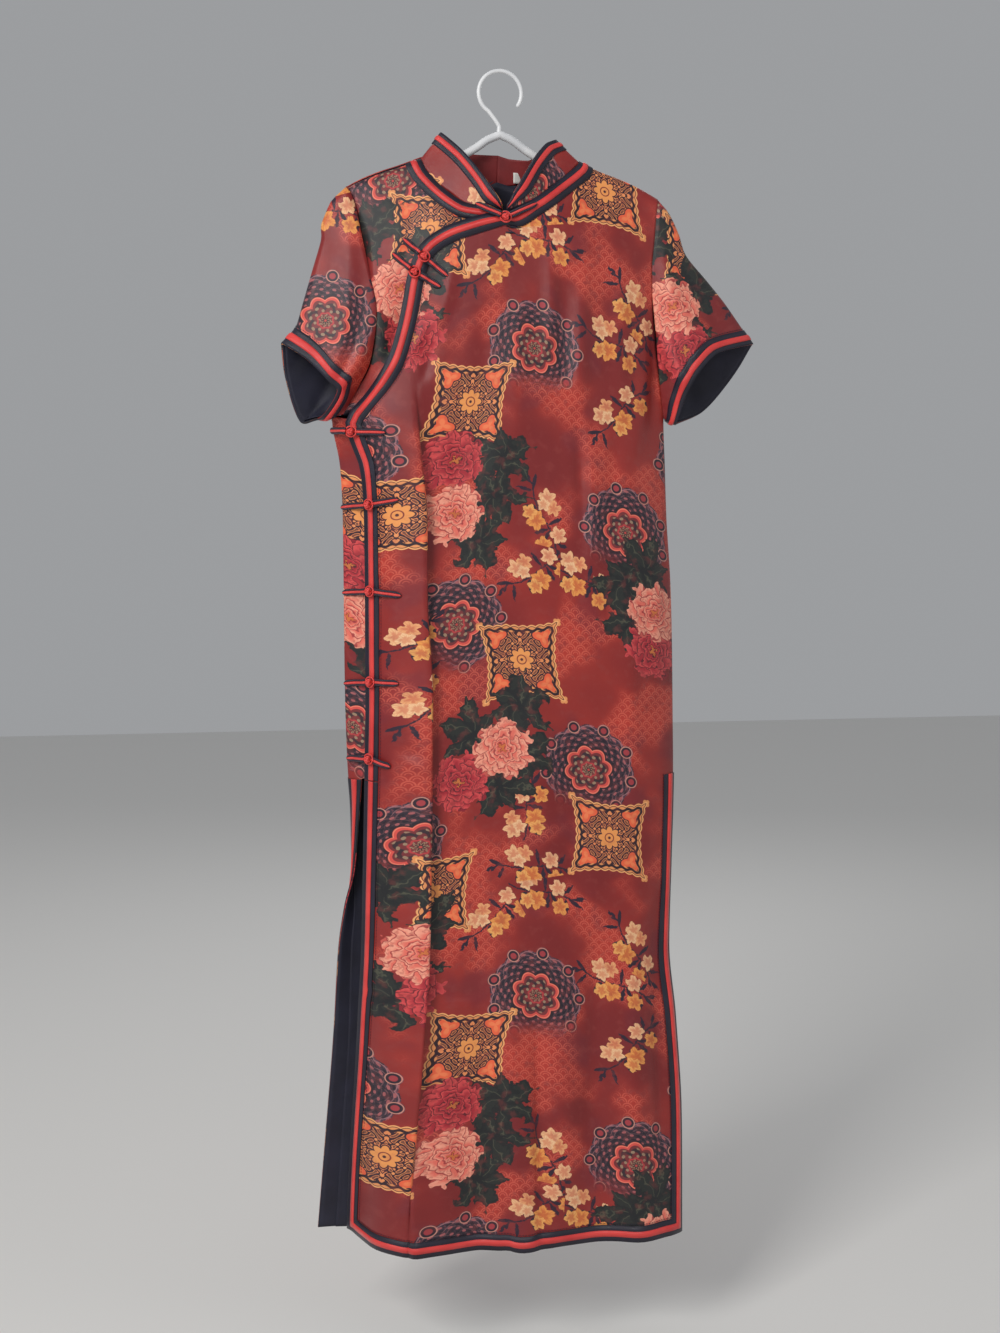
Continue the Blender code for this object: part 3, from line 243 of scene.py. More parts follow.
# %% Rows of the panels
# Rows of the front down to the underarm: the left end runs down the neckline and the
# curved opening, and the right end down the armhole.
FRONT_ROWS = (
    (90, 96, 134), (88.5, 98.5, 137.5), (82, 105, 144), (62, 121, 154), (32, 143, 168),
    (0, 157, 180), (-30, 163, 190), (-60, 173, 200), (-81, 184, 210), (-96, 197, 222),
    (-105, 214, 237), (-111, 235, 254), (-115, 258, 274), (-121, 285, 296), (-130, 315, 322),
    (-143, 340, 344), (-159, 363, 363), (-172, 378, 383), (-178, 391, 392), (-175, 406, 406),
    (-168, 425, 425), (-160, 456, 456),
)
# Below that the rows are level, and the last ones carry the trim of the hem.
TRIM_LINES = (0.0, RED_START, RED_END, TRIM_WIDTH)
LEVEL_ROWS = (505, 590, 690, 745, SLIT_TOP - 1, SLIT_TOP, 870, 950, 1030, 1120, 1220) + tuple(
    HEM_DROP - line for line in reversed(TRIM_LINES))
FRONT_INSIDE = (0.055, 0.105, 0.13, 0.155, 0.175, 0.2, 0.26, 0.36, 0.47, 0.58, 0.69, 0.8, 0.9)

# Rows of the under-flap: drop on the armhole, then x and drop of the other end, which
# runs down the neckline and back under the opening.
FLAP_ROWS = (
    (130, -92, 96), (134, -90.5, 99), (141, -87, 108), (152, -74, 125), (166, -46, 146),
    (180, -12, 156), (196, -8, 186), (215, -45, 204), (238, -74, 226), (265, -86, 262),
    (296, -98, 300), (328, -116, 330), (356, -130, 357), (UNDERARM - 1, -143, UNDERARM - 1),
)
FLAP_INSIDE = (0.15, 0.4, 0.65, 0.85)

BACK_NECKLINE = {"across": (0, 35, 65, 92), "drop": (121, 117, 107, 96)}
BACK_TOP_ROWS = (0, 0.012, 0.04, 0.10, 0.20, 0.35, 0.52, 0.70, 0.86, 1)
BACK_TOP_INSIDE = (0.11, 0.2257, 0.34, 0.45, 0.56, 0.68, 0.8025, 0.87, 0.935)   # two meet the neck points
BACK_LOW_INSIDE = (0.13, 0.26, 0.40, 0.54, 0.68, 0.79, 0.86, 0.91, 0.955)
LAP = {"drop": (383, 388, 405, 430, 745, SLIT_TOP - 1),
       "station": (215, 225, 245, LAP_STATION, LAP_STATION, SLIT_STATION)}


# %% Collar, sleeves and frogs
# Collar: a row for each station from the centre front round to the centre back: base_x,
# where it stands on the neckline, then top_x, top_y and top_drop of its top edge.
COLLAR_LEFT = (
    (-3, -6, -42, 151), (-12, -8, -42, 146), (-28, -14, -40, 136), (-46, -25, -34, 119),
    (-60, -35, -27, 104), (-74, -46, -20, 90), (-87, -58, -10, 77), (-92, -67, 0, 68),
    (-62.5, -46, 12, 83), (-37, -26, 15, 88), (-8.3, -7, 16, 88), (-0.03, -0.03, 16, 88),
)
COLLAR_RIGHT = (
    (1, 1, -42, 152), (9, 4, -41, 147), (20, 9, -38, 137), (32, 17, -34, 124),
    (47, 27, -27, 108), (62, 37, -21, 93), (82, 52, -9, 77), (90, 64, 0, 72),
    (49.2, 35, 13, 93), (20.5, 16, 15, 92), (0.03, 0.03, 16, 88),
)

# Sleeves: how far the top line swells outwards on its way to the cuff, then the cuff's
# edge, a row for each bearing round it from the top through the front.
SLEEVE_TOP_LEFT = {"along": (0, 0.12, 0.23, 0.34, 0.52, 0.75, 0.9, 1),
                   "out": (0, 11, 11, 4, 0, -5, -8, 0)}
SLEEVE_TOP_RIGHT = {"along": (0, 0.08, 0.22, 0.39, 0.56, 0.74, 1),
                    "out": (0, 3, -1, -10, -5, -1, 0)}
CUFF_LEFT = (
    (0, -247, 0, 304), (55, -222, -22, 322), (95, -199, -32, 346), (140, -188, -30, 358),
    (180, -206, -4, 386), (230, -223, 22, 391), (300, -244, 15, 332),
)
CUFF_RIGHT = (
    (0, 299, 0, 297), (65, 252, -20, 309), (105, 227, -28, 332), (145, 212, -22, 362),
    (180, 206, -4, 390), (225, 240, 22, 378), (262, 264, 23, 356), (310, 285, 12, 325),
)
SLEEVE_RINGS = (0, 0.09, 0.23, 0.42, 0.7)   # shares of the way to the inner line of the trim
SLEEVE_SIDES = 16

# Frogs, knot first: the knot, the tip on the front, the tip on the other side, and the
# piece that the other side lies on. x and drop in each pair.
FROGS = (
    ("frog_neck", (-2, 166), (34, 150), (-34, 152), "trim"),
    ("frog_chest_upper", (-92, 210), (-66, 231), (-114, 190), "flap"),
    ("frog_chest_lower", (-102, 227), (-74, 243), (-126, 206), "flap"),
    ("frog_underarm", (-170, 401), (-136, 403), (-190, 399), "back"),
    ("frog_side_1", (-149, 482), (-122, 477), (-181, 486), "back"),
    ("frog_side_2", (-148, 580), (-119, 584), (-180, 583), "back"),
    ("frog_side_3", (-148, 683), (-122, 683), (-179, 687), "back"),
    ("frog_side_4", (-150, 771), (-131, 778), (-177, 773), "back"),
)
FROG_HEIGHT = 2.4
KNOT_RADIUS = 4.4
LOOP_RADIUS = 6.2

# %% [markdown]
# ## Curves through a few numbers
#
# A table holds only a dozen levels. Two small functions read it at any place between
# them: one never overshoots its numbers, which keeps edges clean, and the other is
# rounder, which suits the cloth's section.

# %% Reading a table smoothly
def smooth(knots, values, at):
    """A smooth curve through the values that never overshoots them."""
    knots = np.asarray(knots, float)
    values = np.asarray(values, float)
    at = np.asarray(at, float)
    step = np.diff(knots)
    slope = np.diff(values) / step
    tangent = np.zeros_like(values)
    product = slope[:-1] * slope[1:]
    total = slope[:-1] + slope[1:]
    total[product <= 0] = 1
    tangent[1:-1] = np.where(product > 0, 2 * product / total, 0)
    tangent[0] = slope[0]
    tangent[-1] = slope[-1]
    index = np.clip(np.searchsorted(knots, at, side="right") - 1, 0, len(knots) - 2)
    run = step[index]
    part = np.clip((at - knots[index]) / run, 0, 1)
    square = part * part
    cube = square * part
    return (values[index] * (2 * cube - 3 * square + 1) + values[index + 1] * (3 * square - 2 * cube)
            + run * (tangent[index] * (cube - 2 * square + part) + tangent[index + 1] * (cube - square)))


def across(stations, columns, at):
    """Smooth curve across the stations of one section, with its values in columns."""
    stations = np.asarray(stations, float)
    columns = [np.asarray(column, float) for column in columns]
    index = np.clip(np.searchsorted(stations, at, side="right") - 1, 0, len(stations) - 2)
    grid = np.stack([np.broadcast_to(column, at.shape) for column in columns])

    def pick(k):
        return np.take_along_axis(grid, np.clip(k, 0, len(stations) - 1)[None], 0)[0]

    low, high = pick(index), pick(index + 1)
    before, after = pick(index - 1), pick(index + 2)
    here, there = stations[index], stations[index + 1]
    run = there - here
    previous = stations[np.clip(index - 1, 0, None)]
    following = stations[np.clip(index + 2, None, len(stations) - 1)]
    start = (high - before) / (there - previous)
    finish = (after - low) / (following - here)
    part = np.clip((at - here) / run, 0, 1)
    square = part * part
    cube = square * part
    return (low * (2 * cube - 3 * square + 1) + high * (3 * square - 2 * cube)
            + run * (start * (cube - 2 * square + part) + finish * (cube - square)))


def column(levels, names, name, drop):
    """One named column of a section table, read smoothly at any drop."""
    place = names.index(name)
    return smooth([row[0] for row in levels], [row[place] for row in levels], drop)


# %% [markdown]
# ## A panel as a surface
#
# Every point of a panel has two numbers, like a place on a map: the station across the
# cloth, and the run of cloth down from the shoulder seam. The cloth first bends over
# the hanger and then hangs, so the run is a little longer than the drop.

# %% Shoulders, sections and surfaces
def seam_drop(station):
    """Drop of the shoulder seam above a station: high up, stations are x itself."""
    return smooth(SHOULDER["across"], SHOULDER["drop"], np.abs(station))


def shoulder_share(below):
    """Depth at the shoulder: a quarter circle over the hanger, then an ease to the chest."""
    quarter = np.clip(below / SHOULDER_RADIUS, 0, 1)
    round_part = SHOULDER_RADIUS * np.sqrt(np.clip(1 - (1 - quarter) ** 2, 0, 1))
    ease = np.clip((below - SHOULDER_RADIUS) / SHOULDER_EASE, 0, 1)
    return round_part, np.sin(ease * math.pi / 2)


def shoulder_depth(depth, below):
    """Turns a full depth into the depth just below the shoulder seam."""
    round_part, ease = shoulder_share(below)
    return np.sign(depth) * (SEAM_GAP / 2 + np.minimum(round_part, np.abs(depth))
                             + np.maximum(np.abs(depth) - SHOULDER_RADIUS, 0) * ease)


def below_from_run(run):
    """Drop below the seam after a run of cloth over the rounded shoulder."""
    bend = SHOULDER_RADIUS * math.pi / 2
    angle = np.clip(run / SHOULDER_RADIUS, 0, math.pi / 2)
    return SHOULDER_RADIUS * (1 - np.cos(angle)) + np.maximum(run - bend, 0)


def run_from_below(below):
    """The reverse of below_from_run."""
    part = np.clip(1 - below / SHOULDER_RADIUS, -1, 1)
    bend = SHOULDER_RADIUS * np.arccos(np.clip(part, 0, 1))
    return bend + np.maximum(below - SHOULDER_RADIUS, 0)


def front_section(station, drop, folded=True):
    """x and full depth of the front at a station across the cloth and a drop."""
    read = {name: column(FRONT_LEVELS, FRONT_COLUMNS, name, drop) for name in FRONT_COLUMNS[1:]}
    fold = read["fold"] if folded else np.zeros_like(read["fold"])
    ratio = read["seam_x"] / HALF_WIDTH
    lip_x, lip_y = read["lip_x"], read["lip_y"]
    left = read["edge_x"]
    bent_x = [left - 60, left, left + 0.42 * (lip_x - left), lip_x, lip_x - FOLD_SHIFT[0],
              lip_x - FOLD_SHIFT[1], lip_x - FOLD_SHIFT[2]]
    bent_y = [read["edge_y"] + 20, read["edge_y"], read["swell_y"], lip_y, lip_y + FOLD_TURN[0],
              lip_y + FOLD_TURN[1], lip_y + FOLD_TURN[2]]
    plain_y = [read["edge_y"] + 8, read["edge_y"], read["swell_y"], read["swell_y"] * 0.5 + lip_y * 0.5,
               read["swell_y"] * 0.35 + lip_y * 0.65, lip_y * 0.95, lip_y * 0.97]
    xs, ys = [], []
    for place, mark in enumerate(FRONT_STATIONS):
        if place < 7:
            xs.append(mark * ratio * (1 - fold) + bent_x[place] * fold)
            ys.append(plain_y[place] * (1 - fold) + bent_y[place] * fold)
        else:
            xs.append(mark * ratio)
    ys += [read[name] for name in ("y_65", "y_25", "y_mid", "y_r65", "y_r110", "y_r150", "y_side", "seam_y")]
    xs[-1] = read["seam_x"] - ROUND_THE_SEAM[0]
    ys.append(read["seam_y"] + ROUND_THE_SEAM[1])
    return across(FRONT_STATIONS, xs, station), across(FRONT_STATIONS, ys, station)


def back_section(station, drop):
    """x and full depth of the back, from the right seam round to its free edge."""
    read = {name: column(BACK_LEVELS, BACK_COLUMNS, name, drop) for name in BACK_COLUMNS[1:]}
    seam_x = column(FRONT_LEVELS, FRONT_COLUMNS, "seam_x", drop)
    seam_y = column(FRONT_LEVELS, FRONT_COLUMNS, "seam_y", drop)
    ratio = seam_x / HALF_WIDTH
    ends_y = np.where(drop < UNDERARM, read["y_seam"], seam_y + SIDE_GAP + read["y_seam"] - 3)
    xs = [seam_x - ROUND_THE_SEAM[0], seam_x, 180 * ratio, 130 * ratio, 65 * ratio, 0 * ratio, -65 * ratio,
          -130 * ratio, read["turn_x"], read["side_x"], read["edge_x"]]
    ys = [ends_y - ROUND_THE_SEAM[1], ends_y, read["y_turn_r"], read["y_130"], read["y_65"], read["y_mid"],
          read["y_l65"], read["y_l130"], read["turn_y"], read["side_y"], read["edge_y"]]
    lap_x, lap_y = front_section(np.full_like(drop, -147.0), drop)
    wrapped = np.clip((drop - 380) / 8, 0, 1) * np.clip((SLIT_TOP + 10 - drop) / 10, 0, 1)
    beyond = (LAP_STATION - SLIT_STATION) / 21
    open_x = read["edge_x"] + (read["edge_x"] - read["side_x"]) * beyond
    open_y = read["edge_y"] + (read["edge_y"] - read["side_y"]) * beyond
    xs.append((lap_x + 2) * wrapped + open_x * (1 - wrapped))
    ys.append((lap_y + 5) * wrapped + open_y * (1 - wrapped))
    return across(BACK_STATIONS, xs, station), across(BACK_STATIONS, ys, station)


def sheet_point(section, station, run, **options):
    """Point on a panel: station across the cloth and run of cloth down from the seam line."""
    below = below_from_run(run)
    drop = seam_drop(station) + below
    x, depth = section(station, drop, **options)
    return np.stack([x, shoulder_depth(depth, below), -drop], -1)


def to_run(station, drop):
    """Run of cloth down to a drop, at a station."""
    return run_from_below(np.maximum(drop - seam_drop(station), 0))


def outward(surface, u, v):
    """Unit normals of a surface whose u runs to the viewer's right and v down."""
    reach = 1.0
    side = surface(u + reach, v) - surface(u - reach, v)
    down = surface(u, v + reach) - surface(u, np.maximum(v - reach, 0))
    normal = np.cross(down, side)
    return normal / np.maximum(np.linalg.norm(normal, axis=-1, keepdims=True), 1e-9)


def front_surface(u, v):
    return sheet_point(front_section, u, v)


def plain_surface(u, v):
    """The front without its long fold, which is how the pieces behind it lie."""
    return sheet_point(front_section, u, v, folded=False)


def back_surface(u, v):
    return sheet_point(back_section, u, v)


def station_at(section, x, drop, low, high, **options):
    """Station whose x at this drop is the one given, found by halving."""
    rising = section(np.array([high]), np.array([drop]), **options)[0] > section(
        np.array([low]), np.array([drop]), **options)[0]
    for _ in range(30):
        middle = (low + high) / 2
        value = section(np.array([middle]), np.array([drop]), **options)[0][0]
        if (value < x) == bool(rising[0]):
            low = middle
        else:
            high = middle
    return (low + high) / 2


def front_station(x, drop):
    """Station of a point on the front, to the left of the fold's lip where it is folded."""
    folded = column(FRONT_LEVELS, FRONT_COLUMNS, "fold", np.array([float(drop)]))[0] > 0
    return station_at(front_section, x, drop, -229.0, -118.0 if folded and x < 0 else HALF_WIDTH)


def inset_line(surface, line, distance):
    """Moves a line of (u, v) sideways over a surface by a true distance."""
    line = np.array(line, float)
    steps = 4
    for _ in range(steps):
        u, v = line[:, 0], line[:, 1]
        points = surface(u, v)
        tangent = np.gradient(points, axis=0)
        tangent /= np.maximum(np.linalg.norm(tangent, axis=1, keepdims=True), 1e-9)
        normal = outward(surface, u, v)
        aim = np.cross(normal, tangent) * (distance / steps)
        side = (surface(u + 1, v) - surface(u - 1, v)) / 2
        down = surface(u, v + 1) - surface(u, np.maximum(v - 1, 0))
        down /= np.where(v < 1, 1 + v, 2)[:, None]
        for row in range(len(line)):
            frame = np.stack([side[row], down[row]], 1)
            shift = np.linalg.lstsq(frame, aim[row], rcond=None)[0]
            line[row] += shift
        line[:, 1] = np.maximum(line[:, 1], 0)
    return line


# %% [markdown]
# ## Cutting the panels
#
# A panel's edges are lines of stations and runs. Its bindings follow lines that lie a
# true width inside the edge, and the cells between them carry the binding strips.

# %% Grids and their normals
def rows_between(left_lines, right_lines, inside):
    """Grid of (station, run): lines of the left edge, a spread between, lines of the right edge."""
    rows = []
    for starts, ends in zip(zip(*left_lines), zip(*right_lines)):
        middle = [blend_on_panel(starts[-1], ends[0], share) for share in inside]
        rows.append(list(starts) + middle + list(ends))
    return np.array(rows, float)


def blend_on_panel(begin, finish, share):
    """Between two (station, run): follows the shoulder near it, and level rows below."""
    station = begin[0] + (finish[0] - begin[0]) * share
    along = begin[1] + (finish[1] - begin[1]) * share
    first, last = (seam_drop(mark) + below_from_run(run) for mark, run in (begin, finish))
    flat = to_run(station, first + (last - first) * share)
    weight = np.clip((min(begin[1], finish[1]) - 12) / 40, 0, 1)
    return (station, along * (1 - weight) + flat * weight)


def mesh_normals(points, closed=False):
    """Unit normals at a grid's points, from the cells round each of them."""
    ring = np.concatenate([points, points[:, :1]], 1) if closed else points
    cells = np.cross(ring[1:, 1:] - ring[:-1, :-1], ring[:-1, 1:] - ring[1:, :-1])
    cells /= np.maximum(np.linalg.norm(cells, axis=-1, keepdims=True), 1e-9)
    if closed:
        cells = np.concatenate([cells[:, -1:], cells], 1)
    else:
        cells = np.concatenate([cells[:, :1], cells, cells[:, -1:]], 1)
    cells = np.concatenate([cells[:1], cells, cells[-1:]], 0)
    normal = cells[1:, 1:] + cells[:-1, 1:] + cells[1:, :-1] + cells[:-1, :-1]
    return normal / np.maximum(np.linalg.norm(normal, axis=-1, keepdims=True), 1e-9)


def moved_out(points, out, closed=False):
    """A grid of points moved out along its own normals."""
    return points + mesh_normals(points, closed) * out


# %% The outlines of the panels
def front_grid():
    left, right = [], []
    for left_x, left_drop, right_drop in FRONT_ROWS:
        station = front_station(left_x, left_drop)
        run = to_run(station, float(left_drop))
        left.append((station, run))
        arm_x = float(smooth(ARMHOLE_RIGHT["drop"], ARMHOLE_RIGHT["x"], right_drop))
        if right_drop >= UNDERARM:
            end = HALF_WIDTH
        else:
            end = station_at(front_section, arm_x, right_drop, 60.0, HALF_WIDTH)
        right.append((end, to_run(end, float(right_drop))))
    for drop in LEVEL_ROWS:
        for ends, station in ((left, -170.0), (right, HALF_WIDTH)):
            ends.append((station, to_run(station, float(drop))))
    left[0] = (left[0][0], 0.0)
    right[0] = (right[0][0], 0.0)
    left_lines = [left] + [inset_line(front_surface, left, line) for line in TRIM_LINES[1:]]
    right_lines = [right] + [inset_line(front_surface, right, -line) for line in TRIM_LINES[1:]]
    return rows_between(left_lines, right_lines[::-1], FRONT_INSIDE)


def flap_grid():
    left, right = [], []
    for arm_drop, right_x, right_drop in FLAP_ROWS:
        arm_x = float(smooth(ARMHOLE_LEFT["drop"], ARMHOLE_LEFT["x"], arm_drop))
        for ends, x, drop in ((left, arm_x, arm_drop), (right, right_x, right_drop)):
            station = station_at(front_section, x, drop, -229.0, HALF_WIDTH, folded=False)
            run = to_run(station, float(drop))
            ends.append((station, run))
    left[0] = (left[0][0], 0.0)
    right[0] = (right[0][0], 0.0)
    right_lines = [right] + [inset_line(plain_surface, right, -line) for line in TRIM_LINES[1:]]
    return rows_between([left], right_lines[::-1], FLAP_INSIDE)


def flap_out(u, v):
    """How far the flap lies behind the front: deeper at the middle and under the fold."""
    middle = np.clip((u + 80) / 30, 0, 1) * 4.0
    under_fold = np.clip((v - 130) / 60, 0, 1) * np.clip((u + 150) / 30, 0, 1) * 8.0
    return -2.4 - np.maximum(middle, under_fold)


def flap_surface(u, v):
    """The flap's own outer face."""
    return plain_surface(u, v) + outward(plain_surface, u, v) * flap_out(u, v)[..., None]


def back_edge(drop):
    if drop < UNDERARM:
        arm_x = float(smooth(ARMHOLE_LEFT["drop"], ARMHOLE_LEFT["x"], drop))
        return station_at(back_section, arm_x, drop, 60.0, 229.0)
    if drop < SLIT_TOP:
        return float(smooth(LAP["drop"], LAP["station"], drop))
    return SLIT_STATION


def back_top_drop(x):
    """The back's upper edge: shoulder seams, with the neckline between them."""
    if abs(x) >= BACK_NECKLINE["across"][-1]:
        return float(seam_drop(x))
    return float(smooth(BACK_NECKLINE["across"], BACK_NECKLINE["drop"], abs(x)))


def back_marks(right, left, inside):
    """Marks across the back: the trim's lines at each side and a spread between them."""
    marks = [right + line for line in TRIM_LINES]
    begin, finish = right + TRIM_WIDTH, left - TRIM_WIDTH
    marks += [begin + (finish - begin) * share for share in inside]
    return marks + [left - line for line in reversed(TRIM_LINES)]


def back_grid():
    """Rows of the back, from its upper edge down to the hem."""
    top_right, top_left = ARMHOLE_RIGHT["x"][0], ARMHOLE_LEFT["x"][0]
    rows = []
    for share in BACK_TOP_ROWS:
        inside = [top + (low - top) * share for top, low in zip(BACK_TOP_INSIDE, BACK_LOW_INSIDE)]
        row = []
        for x in [-mark for mark in back_marks(-top_right, -top_left, inside)]:
            drop = back_top_drop(x)
            drop += (UNDERARM - 1 - drop) * share
            right_x = float(smooth(ARMHOLE_RIGHT["drop"], ARMHOLE_RIGHT["x"], drop))
            left_x = float(smooth(ARMHOLE_LEFT["drop"], ARMHOLE_LEFT["x"], drop))
            part = (x - top_left) / (top_right - top_left)
            here = left_x + (right_x - left_x) * part
            station = station_at(back_section, here, drop, -HALF_WIDTH, 229.0)
            on_seam = share == 0 and abs(x) > BACK_NECKLINE["across"][-1] - 0.5
            row.append((station, 0.0 if on_seam else to_run(station, drop)))
        rows.append(row)
    for drop in (388.0, 405.0, 430.0, 460.0) + LEVEL_ROWS:
        marks = back_marks(-HALF_WIDTH, back_edge(drop), BACK_LOW_INSIDE)
        rows.append([(mark, to_run(mark, float(drop))) for mark in marks])
    return np.array(rows, float)


def armhole_ring(sections, side, bearings):
    """Points of an armhole by bearing: top, front, underarm, back."""
    table = ARMHOLE_LEFT if side < 0 else ARMHOLE_RIGHT
    top, low = table["drop"][0], UNDERARM - 1
    points = []
    for bearing in bearings:
        drop = top + (low - top) * (1 - math.cos(bearing)) / 2
        x = float(smooth(table["drop"], table["x"], drop))
        section = sections[0] if bearing <= math.pi else sections[1]
        ends = (-229.0, HALF_WIDTH) if bearing <= math.pi else (-HALF_WIDTH, 229.0)
        options = {"folded": False} if bearing <= math.pi else {}
        station = station_at(section, x, drop, *ends, **options)
        run = to_run(station, drop)
        point = sheet_point(section, np.array([station]), np.array([run]), **options)[0]
        points.append(point + np.array([side * ARMHOLE_GAP, 0, 0]))
    return np.array(points)


def cuff_ring(table, bearings):
    """Points of a cuff's edge, smooth and closed."""
    marks = [row[0] for row in table]
    marks = [marks[-1] - 360] + marks + [360, marks[1] + 360]
    rows = [table[-1]] + list(table) + [table[0], table[1]]
    degrees = np.degrees(bearings)
    axes = [smooth(marks, [row[place] for row in rows], degrees) for place in (1, 2, 3)]
    return np.stack([axes[0], axes[1], -axes[2]], -1)


class Sleeve:
    """Rings from an armhole to its cuff."""

    def __init__(self, side, cuff, top_line):
        self.side = side
        self.cuff = cuff
        self.top_line = top_line
        marks = np.linspace(0, 2 * math.pi, 73)[:-1]
        self.marks = np.append(marks, 2 * math.pi)
        start = armhole_ring((front_section, back_section), side, marks)
        finish = cuff_ring(cuff, marks)
        self.start = np.vstack([start, start[:1]])
        self.finish = np.vstack([finish, finish[:1]])

    def surface(self, bearing, along):
        bearing = np.mod(bearing, 2 * math.pi)
        start = np.stack([np.interp(bearing, self.marks, self.start[:, k]) for k in range(3)], -1)
        finish = np.stack([np.interp(bearing, self.marks, self.finish[:, k]) for k in range(3)], -1)
        out = smooth(self.top_line["along"], self.top_line["out"], along)
        share = np.clip(np.cos(bearing), 0, 1)
        point = start + (finish - start) * along[..., None]
        point[..., 0] += self.side * out * share
        puff = np.sin(np.clip(along, 0, 1) * math.pi) * 5.0
        point[..., 1] -= puff * np.sin(bearing)
        return point

    def grid(self):
        """Bearings and shares along the sleeve; the trim's line is a true width from the cuff."""
        bearings = np.linspace(0, 2 * math.pi, SLEEVE_SIDES + 1)[:-1]
        length = np.linalg.norm(self.surface(bearings, np.ones(SLEEVE_SIDES))
                                - self.surface(bearings, np.zeros(SLEEVE_SIDES)), axis=-1)
        scale = np.minimum(0.7 * length / TRIM_WIDTH, 1)
        rows = []
        for ring in SLEEVE_RINGS:
            rows.append(ring * (1 - TRIM_WIDTH * scale / length))
        for line in reversed(TRIM_LINES):
            rows.append(1 - line * scale / length)
        return np.stack([np.broadcast_to(bearings, (len(rows), SLEEVE_SIDES)), np.array(rows)], -1)


# %% The collar's standing rows
def neckline_point(x, behind):
    """Point of the neckline edge on the flap, the front or the back."""
    if behind:
        drop = back_top_drop(x)
        section, surface, low, high = back_section, back_surface, -150.0, 150.0
        options = {}
    else:
        outline = ((-92, 96), (-87, 108), (-74, 125), (-46, 146), (-12, 156), (0, 157),
                   (32, 143), (62, 121), (82, 105), (90, 96), (92, 96))
        drop = float(np.interp(x, [row[0] for row in outline], [row[1] for row in outline]))
        section, low, high = front_section, -150.0, 150.0
        surface = flap_surface if x < 0 else front_surface
        options = {"folded": False}
    station = station_at(section, x, drop, low, high, **options)
    run = np.array([to_run(station, drop)])
    return surface(np.array([station]), run)[0]


def collar_points(table):
    """Rows from the top edge of the collar down to its base, on straight lines between them."""
    peak = max(abs(row[0]) for row in table)
    turn = next(place for place, row in enumerate(table) if abs(row[0]) == peak)
    base, top = [], []
    for place, (base_x, top_x, top_y, top_drop) in enumerate(table):
        foot = neckline_point(base_x, place > turn)
        head = np.array([top_x, top_y, -float(top_drop)])
        lift = (head - foot) / np.linalg.norm(head - foot)
        base.append(foot + lift * (COLLAR_GAP if place <= turn else 2 * COLLAR_GAP))
        top.append(head)
    base, top = np.array(base), np.array(top)
    depth = np.linalg.norm(top - base, axis=-1)
    scale = np.minimum(0.7 * depth / TRIM_WIDTH, 0.85)
    shares = [line * scale / depth for line in TRIM_LINES]
    shares += [(1 + shares[-1]) / 2, np.ones_like(depth)]
    return np.array([top + (base - top) * share[:, None] for share in shares])


# %% Places on the panels
def place_on(surface, marks, out):
    marks = np.array(marks, float)
    points = surface(marks[:, 0], marks[:, 1])
    normals = outward(surface, marks[:, 0], marks[:, 1])
    return points + normals * out, normals


def front_marks(pairs):
    marks = []
    for x, drop in pairs:
        station = front_station(x, drop)
        marks.append((station, to_run(station, float(drop))))
    return marks


def host_marks(host, pairs):
    """Stations on the flap or on the back's wrapped side."""
    marks = []
    for x, drop in pairs:
        if host != "back":
            station = station_at(front_section, x, drop, -229.0, HALF_WIDTH, folded=False)
            run = to_run(station, float(drop))
        else:
            share = (x + 181) / (181 - 157)
            station = 204 + 21 * np.clip(share, 0, 1)
            run = to_run(station, float(drop))
        marks.append((station, run))
    return marks


def between(first, second, share):
    return (first[0] + (second[0] - first[0]) * share, first[1] + (second[1] - first[1]) * share)


# %% [markdown]
# ## Drawing with numbers
#
# The cloth's print is a woven figure: round rosettes, scalloped squares, peonies and
# blossom sprigs on brick red. A picture file would stretch and blur, so the figure is
# drawn by the shader itself. Each drawing is arithmetic on the distance and bearing from
# the motif's middle. Long sums of Math nodes are hard to read one call at a time, so
# this small class lets Python's own plus and times signs add the nodes.

# %% A number that writes nodes
class Ink:
    """A number inside a node tree. Arithmetic on it adds Math nodes."""

    tree = None

    def __init__(self, socket):
        self.socket = socket

    @classmethod
    def node(cls, operation, *values):
        math_node = cls.tree.nodes.new("ShaderNodeMath")
        math_node.operation = operation
        for place, value in enumerate(values):
            if isinstance(value, Ink):
                cls.tree.links.new(value.socket, math_node.inputs[place])
            else:
                math_node.inputs[place].default_value = value
        return Ink(math_node.outputs[0])

    def __add__(self, other):
        return Ink.node("ADD", self, other)

    def __sub__(self, other):
        return Ink.node("SUBTRACT", self, other)

    def __rsub__(self, other):
        return Ink.node("SUBTRACT", other, self)

    def __mul__(self, other):
        return Ink.node("MULTIPLY", self, other)

    def __truediv__(self, other):
        return Ink.node("DIVIDE", self, other)

    __radd__ = __add__
    __rmul__ = __mul__


def wave(value):
    return Ink.node("SINE", value)


def cosine(value):
    return Ink.node("COSINE", value)


def size(value):
    return Ink.node("ABSOLUTE", value)


def larger(one, other):
    return Ink.node("MAXIMUM", one, other)


def smaller(one, other):
    return Ink.node("MINIMUM", one, other)


def distance(x, y):
    return Ink.node("SQRT", x * x + y * y)


def bearing(x, y):
    return Ink.node("ARCTAN2", y, x)


